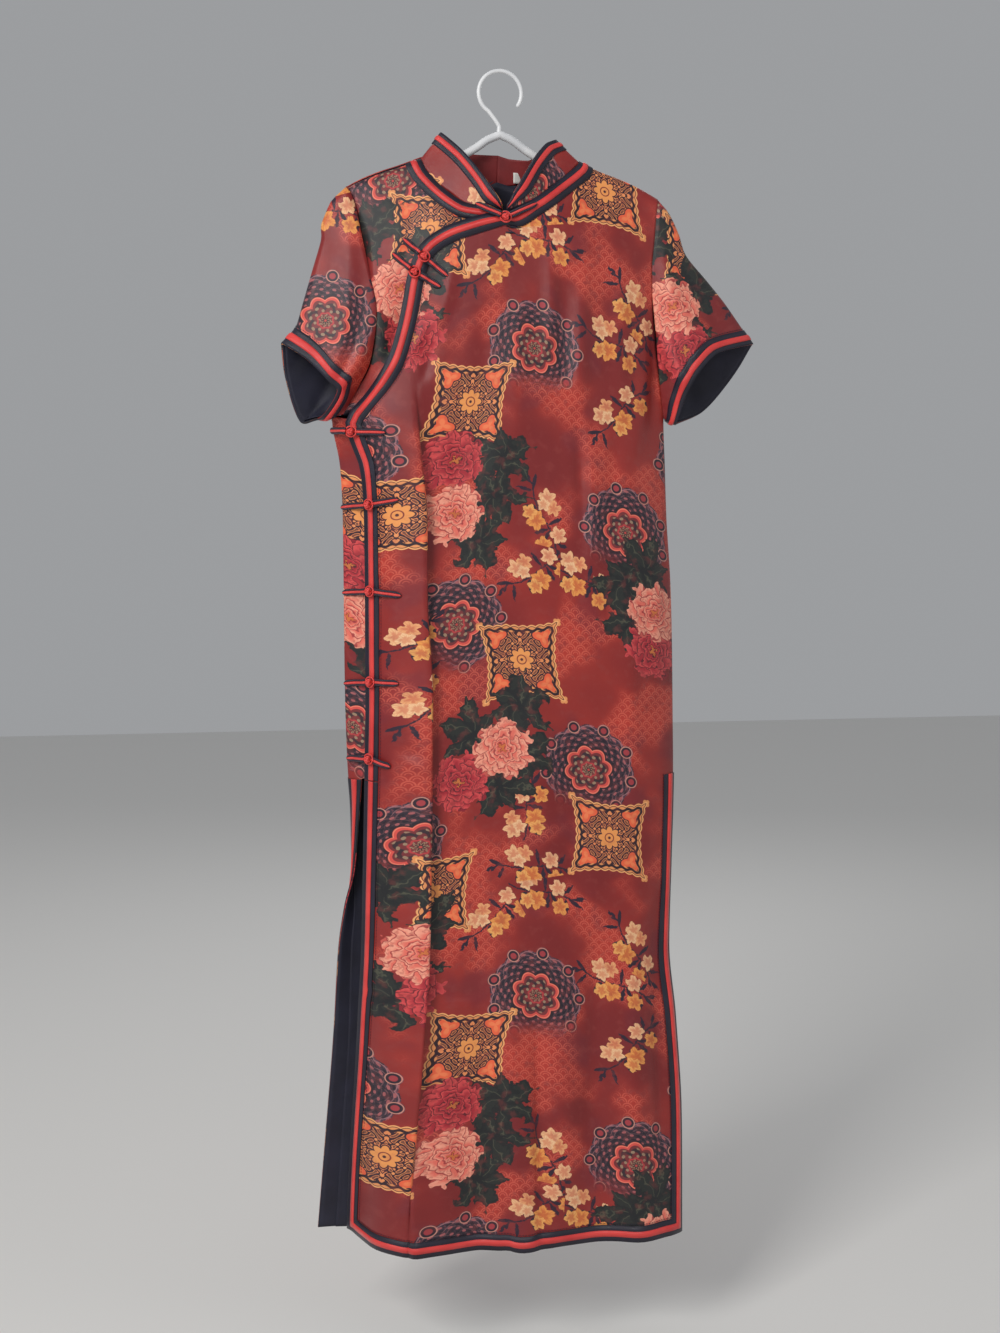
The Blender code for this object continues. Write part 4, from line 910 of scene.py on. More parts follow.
def inside(value, edge, soft=0.0008):
    """1 where the value is under the edge, 0 beyond it, with a soft step between."""
    step = Ink.tree.nodes.new("ShaderNodeMapRange")
    step.interpolation_type = "SMOOTHSTEP"
    if isinstance(value, Ink):
        Ink.tree.links.new(value.socket, step.inputs["Value"])
    if isinstance(edge, Ink):
        Ink.tree.links.new((value - edge).socket, step.inputs["Value"])
        edge = 0.0
    step.inputs["From Min"].default_value = edge - soft / 2
    step.inputs["From Max"].default_value = edge + soft / 2
    step.inputs["To Min"].default_value = 1.0
    step.inputs["To Max"].default_value = 0.0
    return Ink(step.outputs["Result"])


def line(value, middle, half_width, soft=0.0006):
    """1 on a line where the value is close to the middle."""
    return inside(size(value - middle), half_width, soft)


# %% Laying one colour over another
def lay(under, over, mask):
    """Colour under, with another laid over it where the mask is 1."""
    mix = Ink.tree.nodes.new("ShaderNodeMix")
    mix.data_type = "RGBA"
    for place, value in ((0, mask), (6, under), (7, over)):
        if isinstance(value, Ink):
            Ink.tree.links.new(value.socket, mix.inputs[place])
        else:
            mix.inputs[place].default_value = value
    return Ink(mix.outputs[2])


def dye(red, green, blue):
    """A screen colour, 0 to 255, as the linear colour that shaders use."""
    linear = []
    for part in (red, green, blue):
        part /= 255
        linear.append(part / 12.92 if part <= 0.04045 else ((part + 0.055) / 1.055) ** 2.4)
    return (*linear, 1.0)


def cloud(scale, detail, vector):
    """Soft noise from 0 to 1."""
    noise = Ink.tree.nodes.new("ShaderNodeTexNoise")
    noise.inputs["Scale"].default_value = scale
    noise.inputs["Detail"].default_value = detail
    Ink.tree.links.new(vector.socket, noise.inputs["Vector"])
    return Ink(noise.outputs[0])


def point(x, y):
    """X and Y as one vector."""
    join = Ink.tree.nodes.new("ShaderNodeCombineXYZ")
    Ink.tree.links.new(x.socket, join.inputs[0])
    Ink.tree.links.new(y.socket, join.inputs[1])
    return Ink(join.outputs[0])


# %% [markdown]
# ## One group for each motif
#
# A node group is a drawing that can be used again. Each motif takes its place on the
# cloth as X and Y, in metres from its own middle, and gives back a colour and a mask.
# The Principled shader stays outside, in the material.

# %% The frame of a motif group
def begin_motif(name):
    group = bpy.data.node_groups.new(name, "ShaderNodeTree")
    for label in ("X", "Y"):
        group.interface.new_socket(label, in_out="INPUT", socket_type="NodeSocketFloat")
    group.interface.new_socket("Colour", in_out="OUTPUT", socket_type="NodeSocketColor")
    group.interface.new_socket("Mask", in_out="OUTPUT", socket_type="NodeSocketFloat")
    entry = group.nodes.new("NodeGroupInput")
    Ink.tree = group
    return group, Ink(entry.outputs["X"]), Ink(entry.outputs["Y"])


def end_motif(group, colour, mask):
    leave = group.nodes.new("NodeGroupOutput")
    group.links.new(colour.socket, leave.inputs["Colour"])
    group.links.new(mask.socket, leave.inputs["Mask"])
    print(f"{group.name}: {len(group.nodes)} nodes")
    return group


# %% The rosette: a lacy dark disc with small rounds on its rim and a lobed coral ring
def draw_rosette():
    group, x, y = begin_motif("rosette")
    spot = point(x, y)
    r = distance(x, y)
    a = bearing(x, y)
    mottle = cloud(260.0, 2.0, spot)
    fine = cloud(620.0, 2.0, spot)
    colour = lay(dye(46, 34, 48), dye(82, 66, 84), mottle)
    colour = lay(colour, dye(156, 84, 92), inside(0.58 - fine, 0.0, 0.06) * 0.8)
    for middle, depth, count, half_width in (
            (0.0300, 0.0040, 8, 0.0007), (0.0345, 0.0055, 8, 0.0005), (0.0400, 0.0060, 12, 0.0006),
            (0.0445, 0.0050, 12, 0.0005), (0.0490, 0.0035, 16, 0.0006)):
        scallop = r - size(wave(a * (count / 2))) * depth
        colour = lay(colour, dye(30, 22, 36), inside(scallop, middle - 0.0012, 0.0008) * 0.35)
        colour = lay(colour, dye(168, 118, 124), line(scallop, middle - depth / 2, half_width) * 0.8)
    beads = wave(a * 16) * wave(r * 760)
    colour = lay(colour, dye(190, 104, 106), inside(0.55 - beads, 0.0, 0.2) * 0.7)
    colour = lay(colour, dye(28, 20, 34), inside(0.55 + beads, 0.0, 0.2) * 0.8)
    sector = Ink.node("SUBTRACT", Ink.node("FRACT", a * (9 / math.tau) + 0.5), 0.5) * (math.tau / 9)
    rim_x = r * cosine(sector) - 0.0500
    rim_y = r * wave(sector)
    round_r = distance(rim_x, rim_y)
    colour = lay(colour, dye(206, 142, 126), line(round_r, 0.0064, 0.0005))
    colour = lay(colour, dye(40, 24, 40), inside(round_r, 0.0057))
    colour = lay(colour, dye(166, 56, 64), inside(round_r, 0.0034))
    lobes = r - size(wave(a * 4)) * 0.0050
    colour = lay(colour, dye(38, 24, 34), inside(lobes, 0.0246))
    colour = lay(colour, dye(218, 80, 72), line(lobes, 0.0206, 0.0021, 0.0012))
    colour = lay(colour, dye(242, 128, 104), line(lobes, 0.0220, 0.0006))
    colour = lay(colour, dye(118, 42, 46), inside(lobes, 0.0180))
    colour = lay(colour, dye(52, 34, 42), line(lobes, 0.0130, 0.0022, 0.0014))
    seeds = wave(a * 8) * wave(r * 700)
    colour = lay(colour, dye(156, 128, 104), inside(0.45 - seeds, 0.0, 0.25) * inside(lobes, 0.0164))
    colour = lay(colour, dye(184, 60, 62), line(r - size(wave(a * 4)) * 0.0016, 0.0072, 0.0010))
    flower = r - cosine(a * 8) * 0.0014
    colour = lay(colour, dye(58, 38, 42), inside(flower, 0.0056))
    colour = lay(colour, dye(164, 122, 96), line(flower, 0.0042, 0.0007))
    colour = lay(colour, dye(190, 70, 64), inside(r, 0.0014))
    rim = smaller(r - size(wave(a * 8)) * 0.0024 + fine * 0.003, round_r + 0.0440)
    fade = inside(y * -1.0 + mottle * 0.02, 0.046, 0.030)
    return end_motif(group, colour, inside(rim, 0.0514, 0.0012) * larger(fade, inside(lobes, 0.0246)))


# %% The scalloped square: a gold rim with dark beads, corner hearts and a gold flower
def draw_square():
    group, x, y = begin_motif("scalloped_square")
    spot = point(x, y)
    r = distance(x, y)
    a = bearing(x, y)
    ax = size(x)
    ay = size(y)
    block = larger(ax, ay)
    along = smaller(ax, ay)
    bow = block - along * along * 3.6
    rim = bow - size(wave(along * 330)) * 0.0018
    grain = cloud(500.0, 1.0, spot)
    scroll = (wave(ax * 470 + wave(ay * 380) * 2.0) * wave(ay * 470 + wave(ax * 380) * 2.0))
    colour = lay(dye(226, 112, 74), dye(244, 170, 104), cloud(150.0, 1.0, spot))
    colour = lay(colour, dye(54, 24, 38), line(scroll + grain * 0.3, 0.15, 0.36, 0.14))
    colour = lay(colour, dye(54, 24, 38), inside(0.66 - scroll, 0.0, 0.2) * 0.8)
    heart_x = ax - 0.0262
    heart_y = ay - 0.0262
    heart_r = distance(heart_x, heart_y)
    heart_a = bearing(heart_x, heart_y) - math.pi / 4
    heart = heart_r - cosine(heart_a * 3) * 0.0032
    colour = lay(colour, dye(54, 24, 38), inside(heart, 0.0104))
    colour = lay(colour, dye(238, 100, 62), inside(heart, 0.0088))
    colour = lay(colour, dye(250, 150, 96), inside(heart, 0.0046, 0.004) * 0.5)
    petals = r - size(cosine(a * 4)) * 0.0042
    colour = lay(colour, dye(60, 26, 40), inside(petals, 0.0106))
    colour = lay(colour, dye(240, 156, 86), inside(petals, 0.0090))
    colour = lay(colour, dye(130, 52, 44), line(r, 0.0050, 0.0006))
    colour = lay(colour, dye(64, 28, 40), inside(r, 0.0016))
    colour = lay(colour, dye(232, 150, 92), inside(0.0298 - rim, 0.0, 0.001))
    wavy = bow + wave(along * 520) * 0.0011
    colour = lay(colour, dye(44, 20, 32), line(wavy, 0.0328, 0.0016))
    colour = lay(colour, dye(70, 30, 40), line(rim, 0.0352, 0.0004))
    colour = lay(colour, dye(248, 180, 116), line(rim, 0.0364, 0.0006))
    tip_x = ax - 0.0440
    tip_y = ay - 0.0440
    tip = distance(tip_x, tip_y) - size(wave(bearing(tip_x, tip_y) * 2)) * 0.0014
    mask = larger(inside(rim, 0.0372), inside(tip, 0.0034))
    return end_motif(group, colour, mask)


# %% The peony: ruffled petals in uneven layers
def draw_peony(name, light, middle, deep):
    group, x, y = begin_motif(name)
    spot = point(x, y)
    ruffle = cloud(95.0, 1.0, spot) - 0.5
    fold = cloud(80.0, 1.0, point(y + 3.0, x)) - 0.5
    frill = cloud(230.0, 1.0, spot) - 0.5
    x = x + ruffle * 0.020 + frill * 0.0045
    y = y + fold * 0.020 + frill * 0.0045
    r = distance(x, y)
    a = bearing(x, y)
    outer = r - size(wave(a * 3.5 + 0.4)) * 0.0070
    colour = lay(middle, deep, 0.4)
    for reach, turn, count in ((0.0285, 0.4, 4.0), (0.0225, 1.5, 3.5), (0.0165, 0.2, 3.0),
                               (0.0110, 1.1, 2.5), (0.0065, 0.5, 2.0)):
        petal = r - size(wave(a * count + turn)) * (reach * 0.34)
        inward = inside(reach * 0.98 - petal, reach * 0.20, reach * 0.34)
        streak = inside(0.62 - wave(a * 15 + frill * 14) + frill, 0.0, 0.5) * 0.35
        shade = lay(deep, middle, inside(reach - petal, reach * 0.62, reach * 0.3))
        shade = lay(shade, light, inward)
        shade = lay(shade, deep, streak * inside(0.4 - inward, 0.0, 0.4))
        colour = lay(colour, shade, inside(petal, reach, 0.0010))
        colour = lay(colour, deep, line(petal, reach, 0.0007, 0.0009) * 0.9)
    colour = lay(colour, dye(222, 126, 62), inside(r - cosine(a * 9) * 0.0008, 0.0028) * 0.8)
    return end_motif(group, colour, inside(outer, 0.0278, 0.0010))


# %% Foliage: dark lobed leaves in a loose cluster
def draw_foliage():
    group, x, y = begin_motif("foliage")
    x = x * 0.80
    y = y * 0.80
    ragged = cloud(55.0, 3.0, point(x, y)) - 0.5
    drift = cloud(60.0, 3.0, point(y + 5.0, x)) - 0.5
    x = x + ragged * 0.034
    y = y + drift * 0.034
    colour = dye(22, 24, 28)
    mask = inside(distance(x, y), 0.016, 0.002)
    for angle, reach, width in ((10, 0.036, 0.0100), (70, 0.030, 0.0085), (125, 0.037, 0.0095),
                                (190, 0.031, 0.0100), (245, 0.038, 0.0085), (305, 0.032, 0.0100)):
        turn = math.radians(angle)
        along = x * math.cos(turn) + y * math.sin(turn)
        aside = size(y * math.cos(turn) - x * math.sin(turn))
        middle = along / reach - 0.55
        edge = aside + middle * middle * (width * 4.6) + size(wave(along * 420)) * 0.0016
        leaf = inside(edge, width, 0.0010) * inside(along * -1.0, 0.0, 0.002)
        tone = dye(34, 38, 36) if angle % 20 else dye(66, 70, 58)
        colour = lay(colour, tone, leaf)
        colour = lay(colour, dye(92, 92, 74), leaf * line(aside, 0.0, 0.0005, 0.0008) * 0.6)
        colour = lay(colour, dye(16, 18, 24), leaf * inside(width * 0.72 - edge, 0.0, 0.001) * 0.6)
        mask = larger(mask, leaf)
    return end_motif(group, colour, mask)


# %% The sprig: a dark branch, pointed leaves and clusters of small blossoms
def draw_leaf(x, y, root_x, root_y, angle, reach):
    """1 inside one pointed leaf that starts at its root."""
    turn = math.radians(angle)
    over_x = x - root_x
    over_y = y - root_y
    along = over_x * math.cos(turn) + over_y * math.sin(turn)
    aside = size(over_y * math.cos(turn) - over_x * math.sin(turn))
    middle = along / reach - 0.5
    return inside(aside + middle * middle * 0.0090, 0.0022, 0.0006)


def draw_sprig():
    group, x, y = begin_motif("blossom_sprig")
    frill = cloud(240.0, 2.0, point(x, y)) - 0.5
    x = x + frill * 0.006
    y = y - frill * 0.005
    bend = y - wave(x * 55) * 0.0075
    mask = inside(size(bend), 0.0009, 0.0006) * inside(size(x), 0.040, 0.002)
    for root_x, root_y, angle, reach in (
            (-0.036, -0.006, 205, 0.017), (-0.034, -0.007, 160, 0.016), (-0.032, -0.008, 252, 0.017),
            (-0.020, -0.006, 100, 0.012), (-0.014, -0.006, 300, 0.017), (-0.014, -0.006, 262, 0.014),
            (0.006, 0.003, 110, 0.017), (0.010, 0.004, 285, 0.017), (0.012, 0.005, 318, 0.015),
            (0.026, 0.007, 66, 0.016), (0.034, 0.006, 350, 0.017), (0.036, 0.006, 30, 0.016),
            (0.030, 0.006, 300, 0.015)):
        mask = larger(mask, draw_leaf(x, y, root_x, root_y, angle, reach * 1.2))
    colour = lay(dye(66, 28, 50), dye(42, 24, 44), mask)
    for place_x, place_y, reach_of, petal_dye, heart_dye in (
            (-0.024, 0.008, 0.0092, dye(244, 190, 140), dye(214, 120, 88)),
            (-0.012, 0.013, 0.0084, dye(238, 170, 116), dye(206, 104, 74)),
            (-0.017, 0.002, 0.0072, dye(246, 200, 152), dye(216, 128, 90)),
            (0.000, -0.010, 0.0108, dye(236, 156, 78), dye(196, 84, 48)),
            (-0.009, -0.016, 0.0082, dye(242, 176, 98), dye(204, 96, 56)),
            (0.018, 0.013, 0.0092, dye(246, 192, 144), dye(214, 118, 86)),
            (0.028, -0.006, 0.0092, dye(238, 160, 82), dye(198, 88, 52))):
        fx = x - place_x
        fy = y - place_y
        r = distance(fx, fy)
        a = bearing(fx, fy)
        petals = r - size(cosine(a * 2.5 + place_x * 60)) * (reach_of * 0.42)
        shape = inside(petals, reach_of * 0.70, 0.0009)
        shade = lay(petal_dye, heart_dye, inside(petals, reach_of * 0.24, reach_of * 0.5) * 0.7)
        shade = lay(shade, heart_dye, inside(0.75 - size(wave(a * 10)), 0.0, 0.5) * 0.3)
        colour = lay(colour, shade, shape)
        mask = larger(mask, shape)
    return end_motif(group, colour, mask)


MOTIFS = {
    "rosette": draw_rosette(),
    "square": draw_square(),
    "pink_peony": draw_peony("pink_peony", dye(248, 168, 142), dye(232, 112, 96), dye(160, 44, 50)),
    "red_peony": draw_peony("red_peony", dye(216, 74, 76), dye(168, 34, 48), dye(84, 14, 30)),
    "foliage": draw_foliage(),
    "sprig": draw_sprig(),
}

# %% [markdown]
# ## Where the motifs fall
#
# The weave repeats: the same figure comes back every 420 mm across and every 736 mm
# down. Each row of the table is one motif's middle inside that repeat, in millimetres,
# and a turn in degrees. To find the motif that a point lies nearest to, the point's
# distance from each middle is wrapped into one repeat, and the shortest one wins.

# %% Places in the repeat: x, drop and turn
REPEAT = (0.420, 0.736)
PLACES = {
    "rosette": ((32, 311, 0), (141, 501, 20), (-56, 616, 40), (93, 779, 10), (-123, 856, 30), (-181, 409, 15)),
    "square": ((118, 855, 0), (-43, 369, 8), (-138, 481, 2), (17, 662, -5), (-85, 918, 5)),
    "foliage": ((-108, 262, 20), (-142, 296, 140), (-14, 478, 10),
                (-6, 436, 100), (-32, 524, 200), (138, 560, 60), (146, 604, 300), (162, 540, 180),
                (14, 716, 40), (-38, 744, 150), (18, 770, 90), (-8, 806, 250), (-150, 905, 90), (-90, 216, 200)),
    "pink_peony": ((-120, 242, 20), (-61, 491, 80), (174, 587, 200), (-4, 765, 300)),
    "red_peony": ((-61, 432, 50), (170, 631, 140), (-52, 796, 260), (-104, 292, 330)),
    "sprig": ((37, 190, 20), (-11, 218, -25), (125, 290, 30), (150, 250, 70), (138, 365, -35), (44, 500, 80),
              (36, 559, -20), (86, 562, 35), (-116, 620, -10), (-112, 690, -40), (22, 838, -70),
              (30, 898, 10)),
}


def nearest_motif(spot, places):
    """The place of a point seen from the nearest motif of one kind, turned with it."""
    best = None
    shortest = None
    for x, drop, turn in places:
        shift = Ink.tree.nodes.new("ShaderNodeVectorMath")
        shift.operation = "SUBTRACT"
        Ink.tree.links.new(spot.socket, shift.inputs[0])
        shift.inputs[1].default_value = (x / 1000, -drop / 1000, turn * 1e-6)
        wrap = Ink.tree.nodes.new("ShaderNodeVectorMath")
        wrap.operation = "WRAP"
        Ink.tree.links.new(shift.outputs[0], wrap.inputs[0])
        wrap.inputs[1].default_value = (REPEAT[0] / 2, REPEAT[1] / 2, 10)
        wrap.inputs[2].default_value = (-REPEAT[0] / 2, -REPEAT[1] / 2, -10)
        here = Ink(wrap.outputs[0])
        length = Ink.tree.nodes.new("ShaderNodeVectorMath")
        length.operation = "LENGTH"
        Ink.tree.links.new(here.socket, length.inputs[0])
        far = Ink(length.outputs["Value"])
        if best is None:
            best, shortest = here, far
            continue
        closer = Ink.node("LESS_THAN", far, shortest)
        pick = Ink.tree.nodes.new("ShaderNodeMix")
        pick.data_type = "VECTOR"
        Ink.tree.links.new(closer.socket, pick.inputs[0])
        Ink.tree.links.new(best.socket, pick.inputs[4])
        Ink.tree.links.new(here.socket, pick.inputs[5])
        best, shortest = Ink(pick.outputs[1]), smaller(shortest, far)
    parts = Ink.tree.nodes.new("ShaderNodeSeparateXYZ")
    Ink.tree.links.new(best.socket, parts.inputs[0])
    x, y, turn = (Ink(parts.outputs[place]) for place in range(3))
    angle = turn * (1e6 * math.pi / 180)
    cos_turn, sin_turn = cosine(angle), wave(angle)
    return x * cos_turn + y * sin_turn, y * cos_turn - x * sin_turn


# %% The whole print as one group, from the cloth's own measure to a colour
def draw_print():
    group = bpy.data.node_groups.new("figured_print", "ShaderNodeTree")
    group.interface.new_socket("Cloth", in_out="INPUT", socket_type="NodeSocketVector")
    group.interface.new_socket("Colour", in_out="OUTPUT", socket_type="NodeSocketColor")
    group.interface.new_socket("Figure", in_out="OUTPUT", socket_type="NodeSocketFloat")
    entry = group.nodes.new("NodeGroupInput")
    Ink.tree = group
    spot = Ink(entry.outputs["Cloth"])
    parts = group.nodes.new("ShaderNodeSeparateXYZ")
    group.links.new(spot.socket, parts.inputs[0])
    x, y = Ink(parts.outputs[0]), Ink(parts.outputs[1])
    patch = cloud(12.0, 2.0, spot)
    row = Ink.node("FLOOR", y / 0.0060)
    offset = Ink.node("FRACT", row * 0.5)
    scale_x = Ink.node("SUBTRACT", Ink.node("FRACT", x / 0.0120 + offset), 0.5) * 0.0120
    scale_y = Ink.node("FRACT", y / 0.0060) * 0.0060
    worn = cloud(90.0, 3.0, spot)
    arc = distance(scale_x, scale_y) + worn * 0.0016
    lace = line(arc, 0.0058, 0.0007) + line(arc, 0.0034, 0.0005)
    colour = lay(dye(126, 28, 30), dye(154, 42, 36), inside(0.50 - cloud(6.0, 3.0, spot), 0.0, 0.3))
    colour = lay(colour, dye(194, 58, 44), inside(0.56 - patch, 0.0, 0.20) * 0.7)
    colour = lay(colour, dye(116, 34, 46), inside(0.60 - cloud(17.0, 2.0, point(y, x)), 0.0, 0.14) * 0.5)
    colour = lay(colour, dye(222, 104, 84), lace * inside(0.55 - patch, 0.0, 0.10) * 0.55)
    colour = lay(colour, dye(112, 24, 34), inside(0.62 - worn, 0.0, 0.16) * inside(0.52 - patch, 0.0, 0.1) * 0.35)
    figure = lace * 0.0
    for kind in ("rosette", "sprig", "square", "foliage", "red_peony", "pink_peony"):
        motif = group.nodes.new("ShaderNodeGroup")
        motif.node_tree = MOTIFS[kind]
        local_x, local_y = nearest_motif(spot, PLACES[kind])
        group.links.new(local_x.socket, motif.inputs["X"])
        group.links.new(local_y.socket, motif.inputs["Y"])
        mask = Ink(motif.outputs["Mask"])
        colour = lay(colour, Ink(motif.outputs["Colour"]), mask)
        figure = larger(figure, mask)
    colour = lay(colour, dye(150, 62, 58), inside(0.60 - worn, 0.0, 0.2) * 0.25)
    leave = group.nodes.new("NodeGroupOutput")
    group.links.new(colour.socket, leave.inputs["Colour"])
    group.links.new(figure.socket, leave.inputs["Figure"])
    print(f"print: {len(group.nodes)} nodes, {sum(len(kind) for kind in PLACES.values())} motifs in a repeat")
    return group


FIGURED_PRINT = draw_print()

# %% [markdown]
# ## The finishes
#
# Satin has long threads on its face, so it shines in soft bands and its weave is only
# just visible. The bump for it is one group with named inputs, used by the satin and by
# every plain cloth here, each with its own thread size.

# %% The weave group
def build_weave():
    group = bpy.data.node_groups.new("weave", "ShaderNodeTree")
    face = group.interface
    face.new_socket("Cloth", in_out="INPUT", socket_type="NodeSocketVector")
    face.new_socket("Thread", in_out="INPUT", socket_type="NodeSocketFloat").default_value = 0.0005
    face.new_socket("Slub", in_out="INPUT", socket_type="NodeSocketFloat").default_value = 0.4
    face.new_socket("Height", in_out="OUTPUT", socket_type="NodeSocketFloat")
    entry = group.nodes.new("NodeGroupInput")
    Ink.tree = group
    parts = group.nodes.new("ShaderNodeSeparateXYZ")
    group.links.new(entry.outputs["Cloth"], parts.inputs[0])
    x, y = Ink(parts.outputs[0]), Ink(parts.outputs[1])
    thread = Ink(entry.outputs["Thread"])
    warp = wave((x / thread) * math.tau + wave((y / thread) * (math.pi * 0.5)) * 0.8)
    weft = wave((y / thread) * (math.tau * 0.5))
    slub = cloud(240.0, 2.0, Ink(entry.outputs["Cloth"])) * Ink(entry.outputs["Slub"])
    height = warp * 0.35 + weft * 0.2 + slub
    leave = group.nodes.new("NodeGroupOutput")
    group.links.new(height.socket, leave.inputs["Height"])
    print(f"weave: {len(group.nodes)} nodes")
    return group


WEAVE = build_weave()


# %% Starting a cloth material
def begin_cloth(name, roughness, sheen, sheen_tint=(1, 1, 1, 1), specular=0.5):
    material = bpy.data.materials.new(name)
    material.use_nodes = True
    tree = material.node_tree
    shader = tree.nodes["Principled BSDF"]
    shader.inputs["Roughness"].default_value = roughness
    shader.inputs["Sheen Weight"].default_value = sheen
    shader.inputs["Sheen Roughness"].default_value = 0.35
    shader.inputs["Sheen Tint"].default_value = sheen_tint
    shader.inputs["Specular IOR Level"].default_value = specular
    Ink.tree = tree
    place = tree.nodes.new("ShaderNodeUVMap")
    place.uv_map = "cloth"
    return tree, shader, Ink(place.outputs["UV"])


def add_weave(tree, shader, spot, thread, slub, strength, depth):
    weave = tree.nodes.new("ShaderNodeGroup")
    weave.node_tree = WEAVE
    tree.links.new(spot.socket, weave.inputs["Cloth"])
    weave.inputs["Thread"].default_value = thread
    weave.inputs["Slub"].default_value = slub
    bump = tree.nodes.new("ShaderNodeBump")
    bump.inputs["Strength"].default_value = strength
    bump.inputs["Distance"].default_value = depth
    tree.links.new(weave.outputs["Height"], bump.inputs["Height"])
    tree.links.new(bump.outputs["Normal"], shader.inputs["Normal"])
    return Ink(weave.outputs["Height"])


# %% The printed satin
def make_satin():
    tree, shader, spot = begin_cloth("printed_satin", 0.44, 0.12, (1.0, 0.66, 0.6, 1), 0.5)
    figure = tree.nodes.new("ShaderNodeGroup")
    figure.node_tree = FIGURED_PRINT
    tree.links.new(spot.socket, figure.inputs["Cloth"])
    tree.links.new(figure.outputs["Colour"], shader.inputs["Base Color"])
    height = add_weave(tree, shader, spot, 0.00062, 0.5, 0.35, 0.0003)
    rough = Ink(figure.outputs["Figure"]) * 0.06 + height * 0.03 + cloud(9.0, 2.0, spot) * 0.14 + 0.33
    tree.links.new(rough.socket, shader.inputs["Roughness"])
    return tree


# %% Plain cloths: lining, binding, cord, thread and label
def make_plain_cloth(name, low, high, roughness, sheen, thread, depth, patch=35.0):
    tree, shader, spot = begin_cloth(name, roughness, sheen)
    colour = lay(low, high, inside(0.5 - cloud(patch, 3.0, spot), 0.0, 0.5))
    height = add_weave(tree, shader, spot, thread, 0.6, 0.5, depth)
    colour = lay(colour, high, inside(0.25 - height, 0.0, 0.4) * 0.35)
    tree.links.new(colour.socket, shader.inputs["Base Color"])
    rough = height * 0.05 + roughness
    tree.links.new(rough.socket, shader.inputs["Roughness"])
    return tree


def make_cord(name, low, high, roughness):
    """Twisted cord: slanting ridges round and along it, with painted shade darkening the grooves between them."""
    tree, shader, spot = begin_cloth(name, roughness, 0.1)
    parts = tree.nodes.new("ShaderNodeSeparateXYZ")
    tree.links.new(spot.socket, parts.inputs[0])
    around, along = Ink(parts.outputs[0]), Ink(parts.outputs[1])
    twist_height_and_groove_shade = wave(around * 500 + along * 3600)
    # Painted shade: the colour is darker in the grooves of the twist and lighter on its crests, following the bump.
    colour = lay(low, high, twist_height_and_groove_shade * 0.4 + 0.6)
    tree.links.new(colour.socket, shader.inputs["Base Color"])
    bump = tree.nodes.new("ShaderNodeBump")
    bump.inputs["Strength"].default_value = 0.5
    bump.inputs["Distance"].default_value = 0.0003
    tree.links.new(twist_height_and_groove_shade.socket, bump.inputs["Height"])
    tree.links.new(bump.outputs["Normal"], shader.inputs["Normal"])
    rough = twist_height_and_groove_shade * 0.05 + roughness
    tree.links.new(rough.socket, shader.inputs["Roughness"])
    return tree


# %% The hanger's plastic
def make_plastic():
    """Pale moulded plastic, a little cloudy and scuffed."""
    material = bpy.data.materials.new("pale_plastic")
    material.use_nodes = True
    tree = material.node_tree
    Ink.tree = tree
    shader = tree.nodes["Principled BSDF"]
    shader.inputs["Subsurface Weight"].default_value = 0.0
    shader.inputs["Specular IOR Level"].default_value = 0.5
    place = tree.nodes.new("ShaderNodeTexCoord")
    spot = Ink(place.outputs["Object"])
    scuff = cloud(180.0, 4.0, spot)
    colour = lay(dye(206, 208, 212), dye(232, 233, 235), inside(0.5 - cloud(30.0, 2.0, spot), 0.0, 0.4))
    tree.links.new(colour.socket, shader.inputs["Base Color"])
    rough = scuff * 0.25 + 0.22
    tree.links.new(rough.socket, shader.inputs["Roughness"])
    bump = tree.nodes.new("ShaderNodeBump")
    bump.inputs["Strength"].default_value = 0.05
    bump.inputs["Distance"].default_value = 0.0001
    tree.links.new(scuff.socket, bump.inputs["Height"])
    tree.links.new(bump.outputs["Normal"], shader.inputs["Normal"])
    return tree


# %% Every finish by the name that the pieces use
make_satin()
make_plain_cloth("navy_lining", dye(22, 22, 38), dye(34, 34, 54), 0.6, 0.06, 0.0006, 0.0002)
make_plain_cloth("satin_reverse", dye(112, 26, 30), dye(138, 38, 40), 0.55, 0.1, 0.0006, 0.0002)
make_plain_cloth("navy_binding", dye(20, 17, 32), dye(33, 29, 48), 0.4, 0.08, 0.0005, 0.0002)
make_plain_cloth("coral_binding", dye(204, 48, 50), dye(232, 70, 66), 0.36, 0.15, 0.0005, 0.0002)
make_plain_cloth("woven_label", dye(214, 212, 206), dye(236, 235, 230), 0.7, 0.1, 0.0004, 0.0002)
make_plain_cloth("navy_thread", dye(26, 22, 38), dye(44, 38, 60), 0.5, 0.1, 0.0004, 0.0001)
# Each cord's first colour is the painted shade of its grooves and the second the colour of its crests.
make_cord("coral_cord", dye(196, 44, 46), dye(240, 78, 72), 0.34)
make_cord("dark_cord", dye(18, 15, 28), dye(40, 34, 54), 0.42)
make_plastic()
CLOTHS = {
    "satin": bpy.data.materials["printed_satin"],
    "satin_back": bpy.data.materials["satin_reverse"],
    "lining": bpy.data.materials["navy_lining"],
    "navy": bpy.data.materials["navy_binding"],
    "red": bpy.data.materials["coral_binding"],
    "label": bpy.data.materials["woven_label"],
    "thread": bpy.data.materials["navy_thread"],
    "red_cord": bpy.data.materials["coral_cord"],
    "navy_cord": bpy.data.materials["dark_cord"],
    "plastic": bpy.data.materials["pale_plastic"],
}
print("finishes:", ", ".join(sorted(CLOTHS)))

# %% [markdown]
# ## Creases
#
# Hung satin doesn't hang flat. Soft ridges run down from the bust and the waist, short
# ones break where the cloth has been folded away, and none is like the next. Each row
# of these tables is one crease: where it starts and ends, how far it leans at its
# middle, its half width and its height. A negative height is a trough.

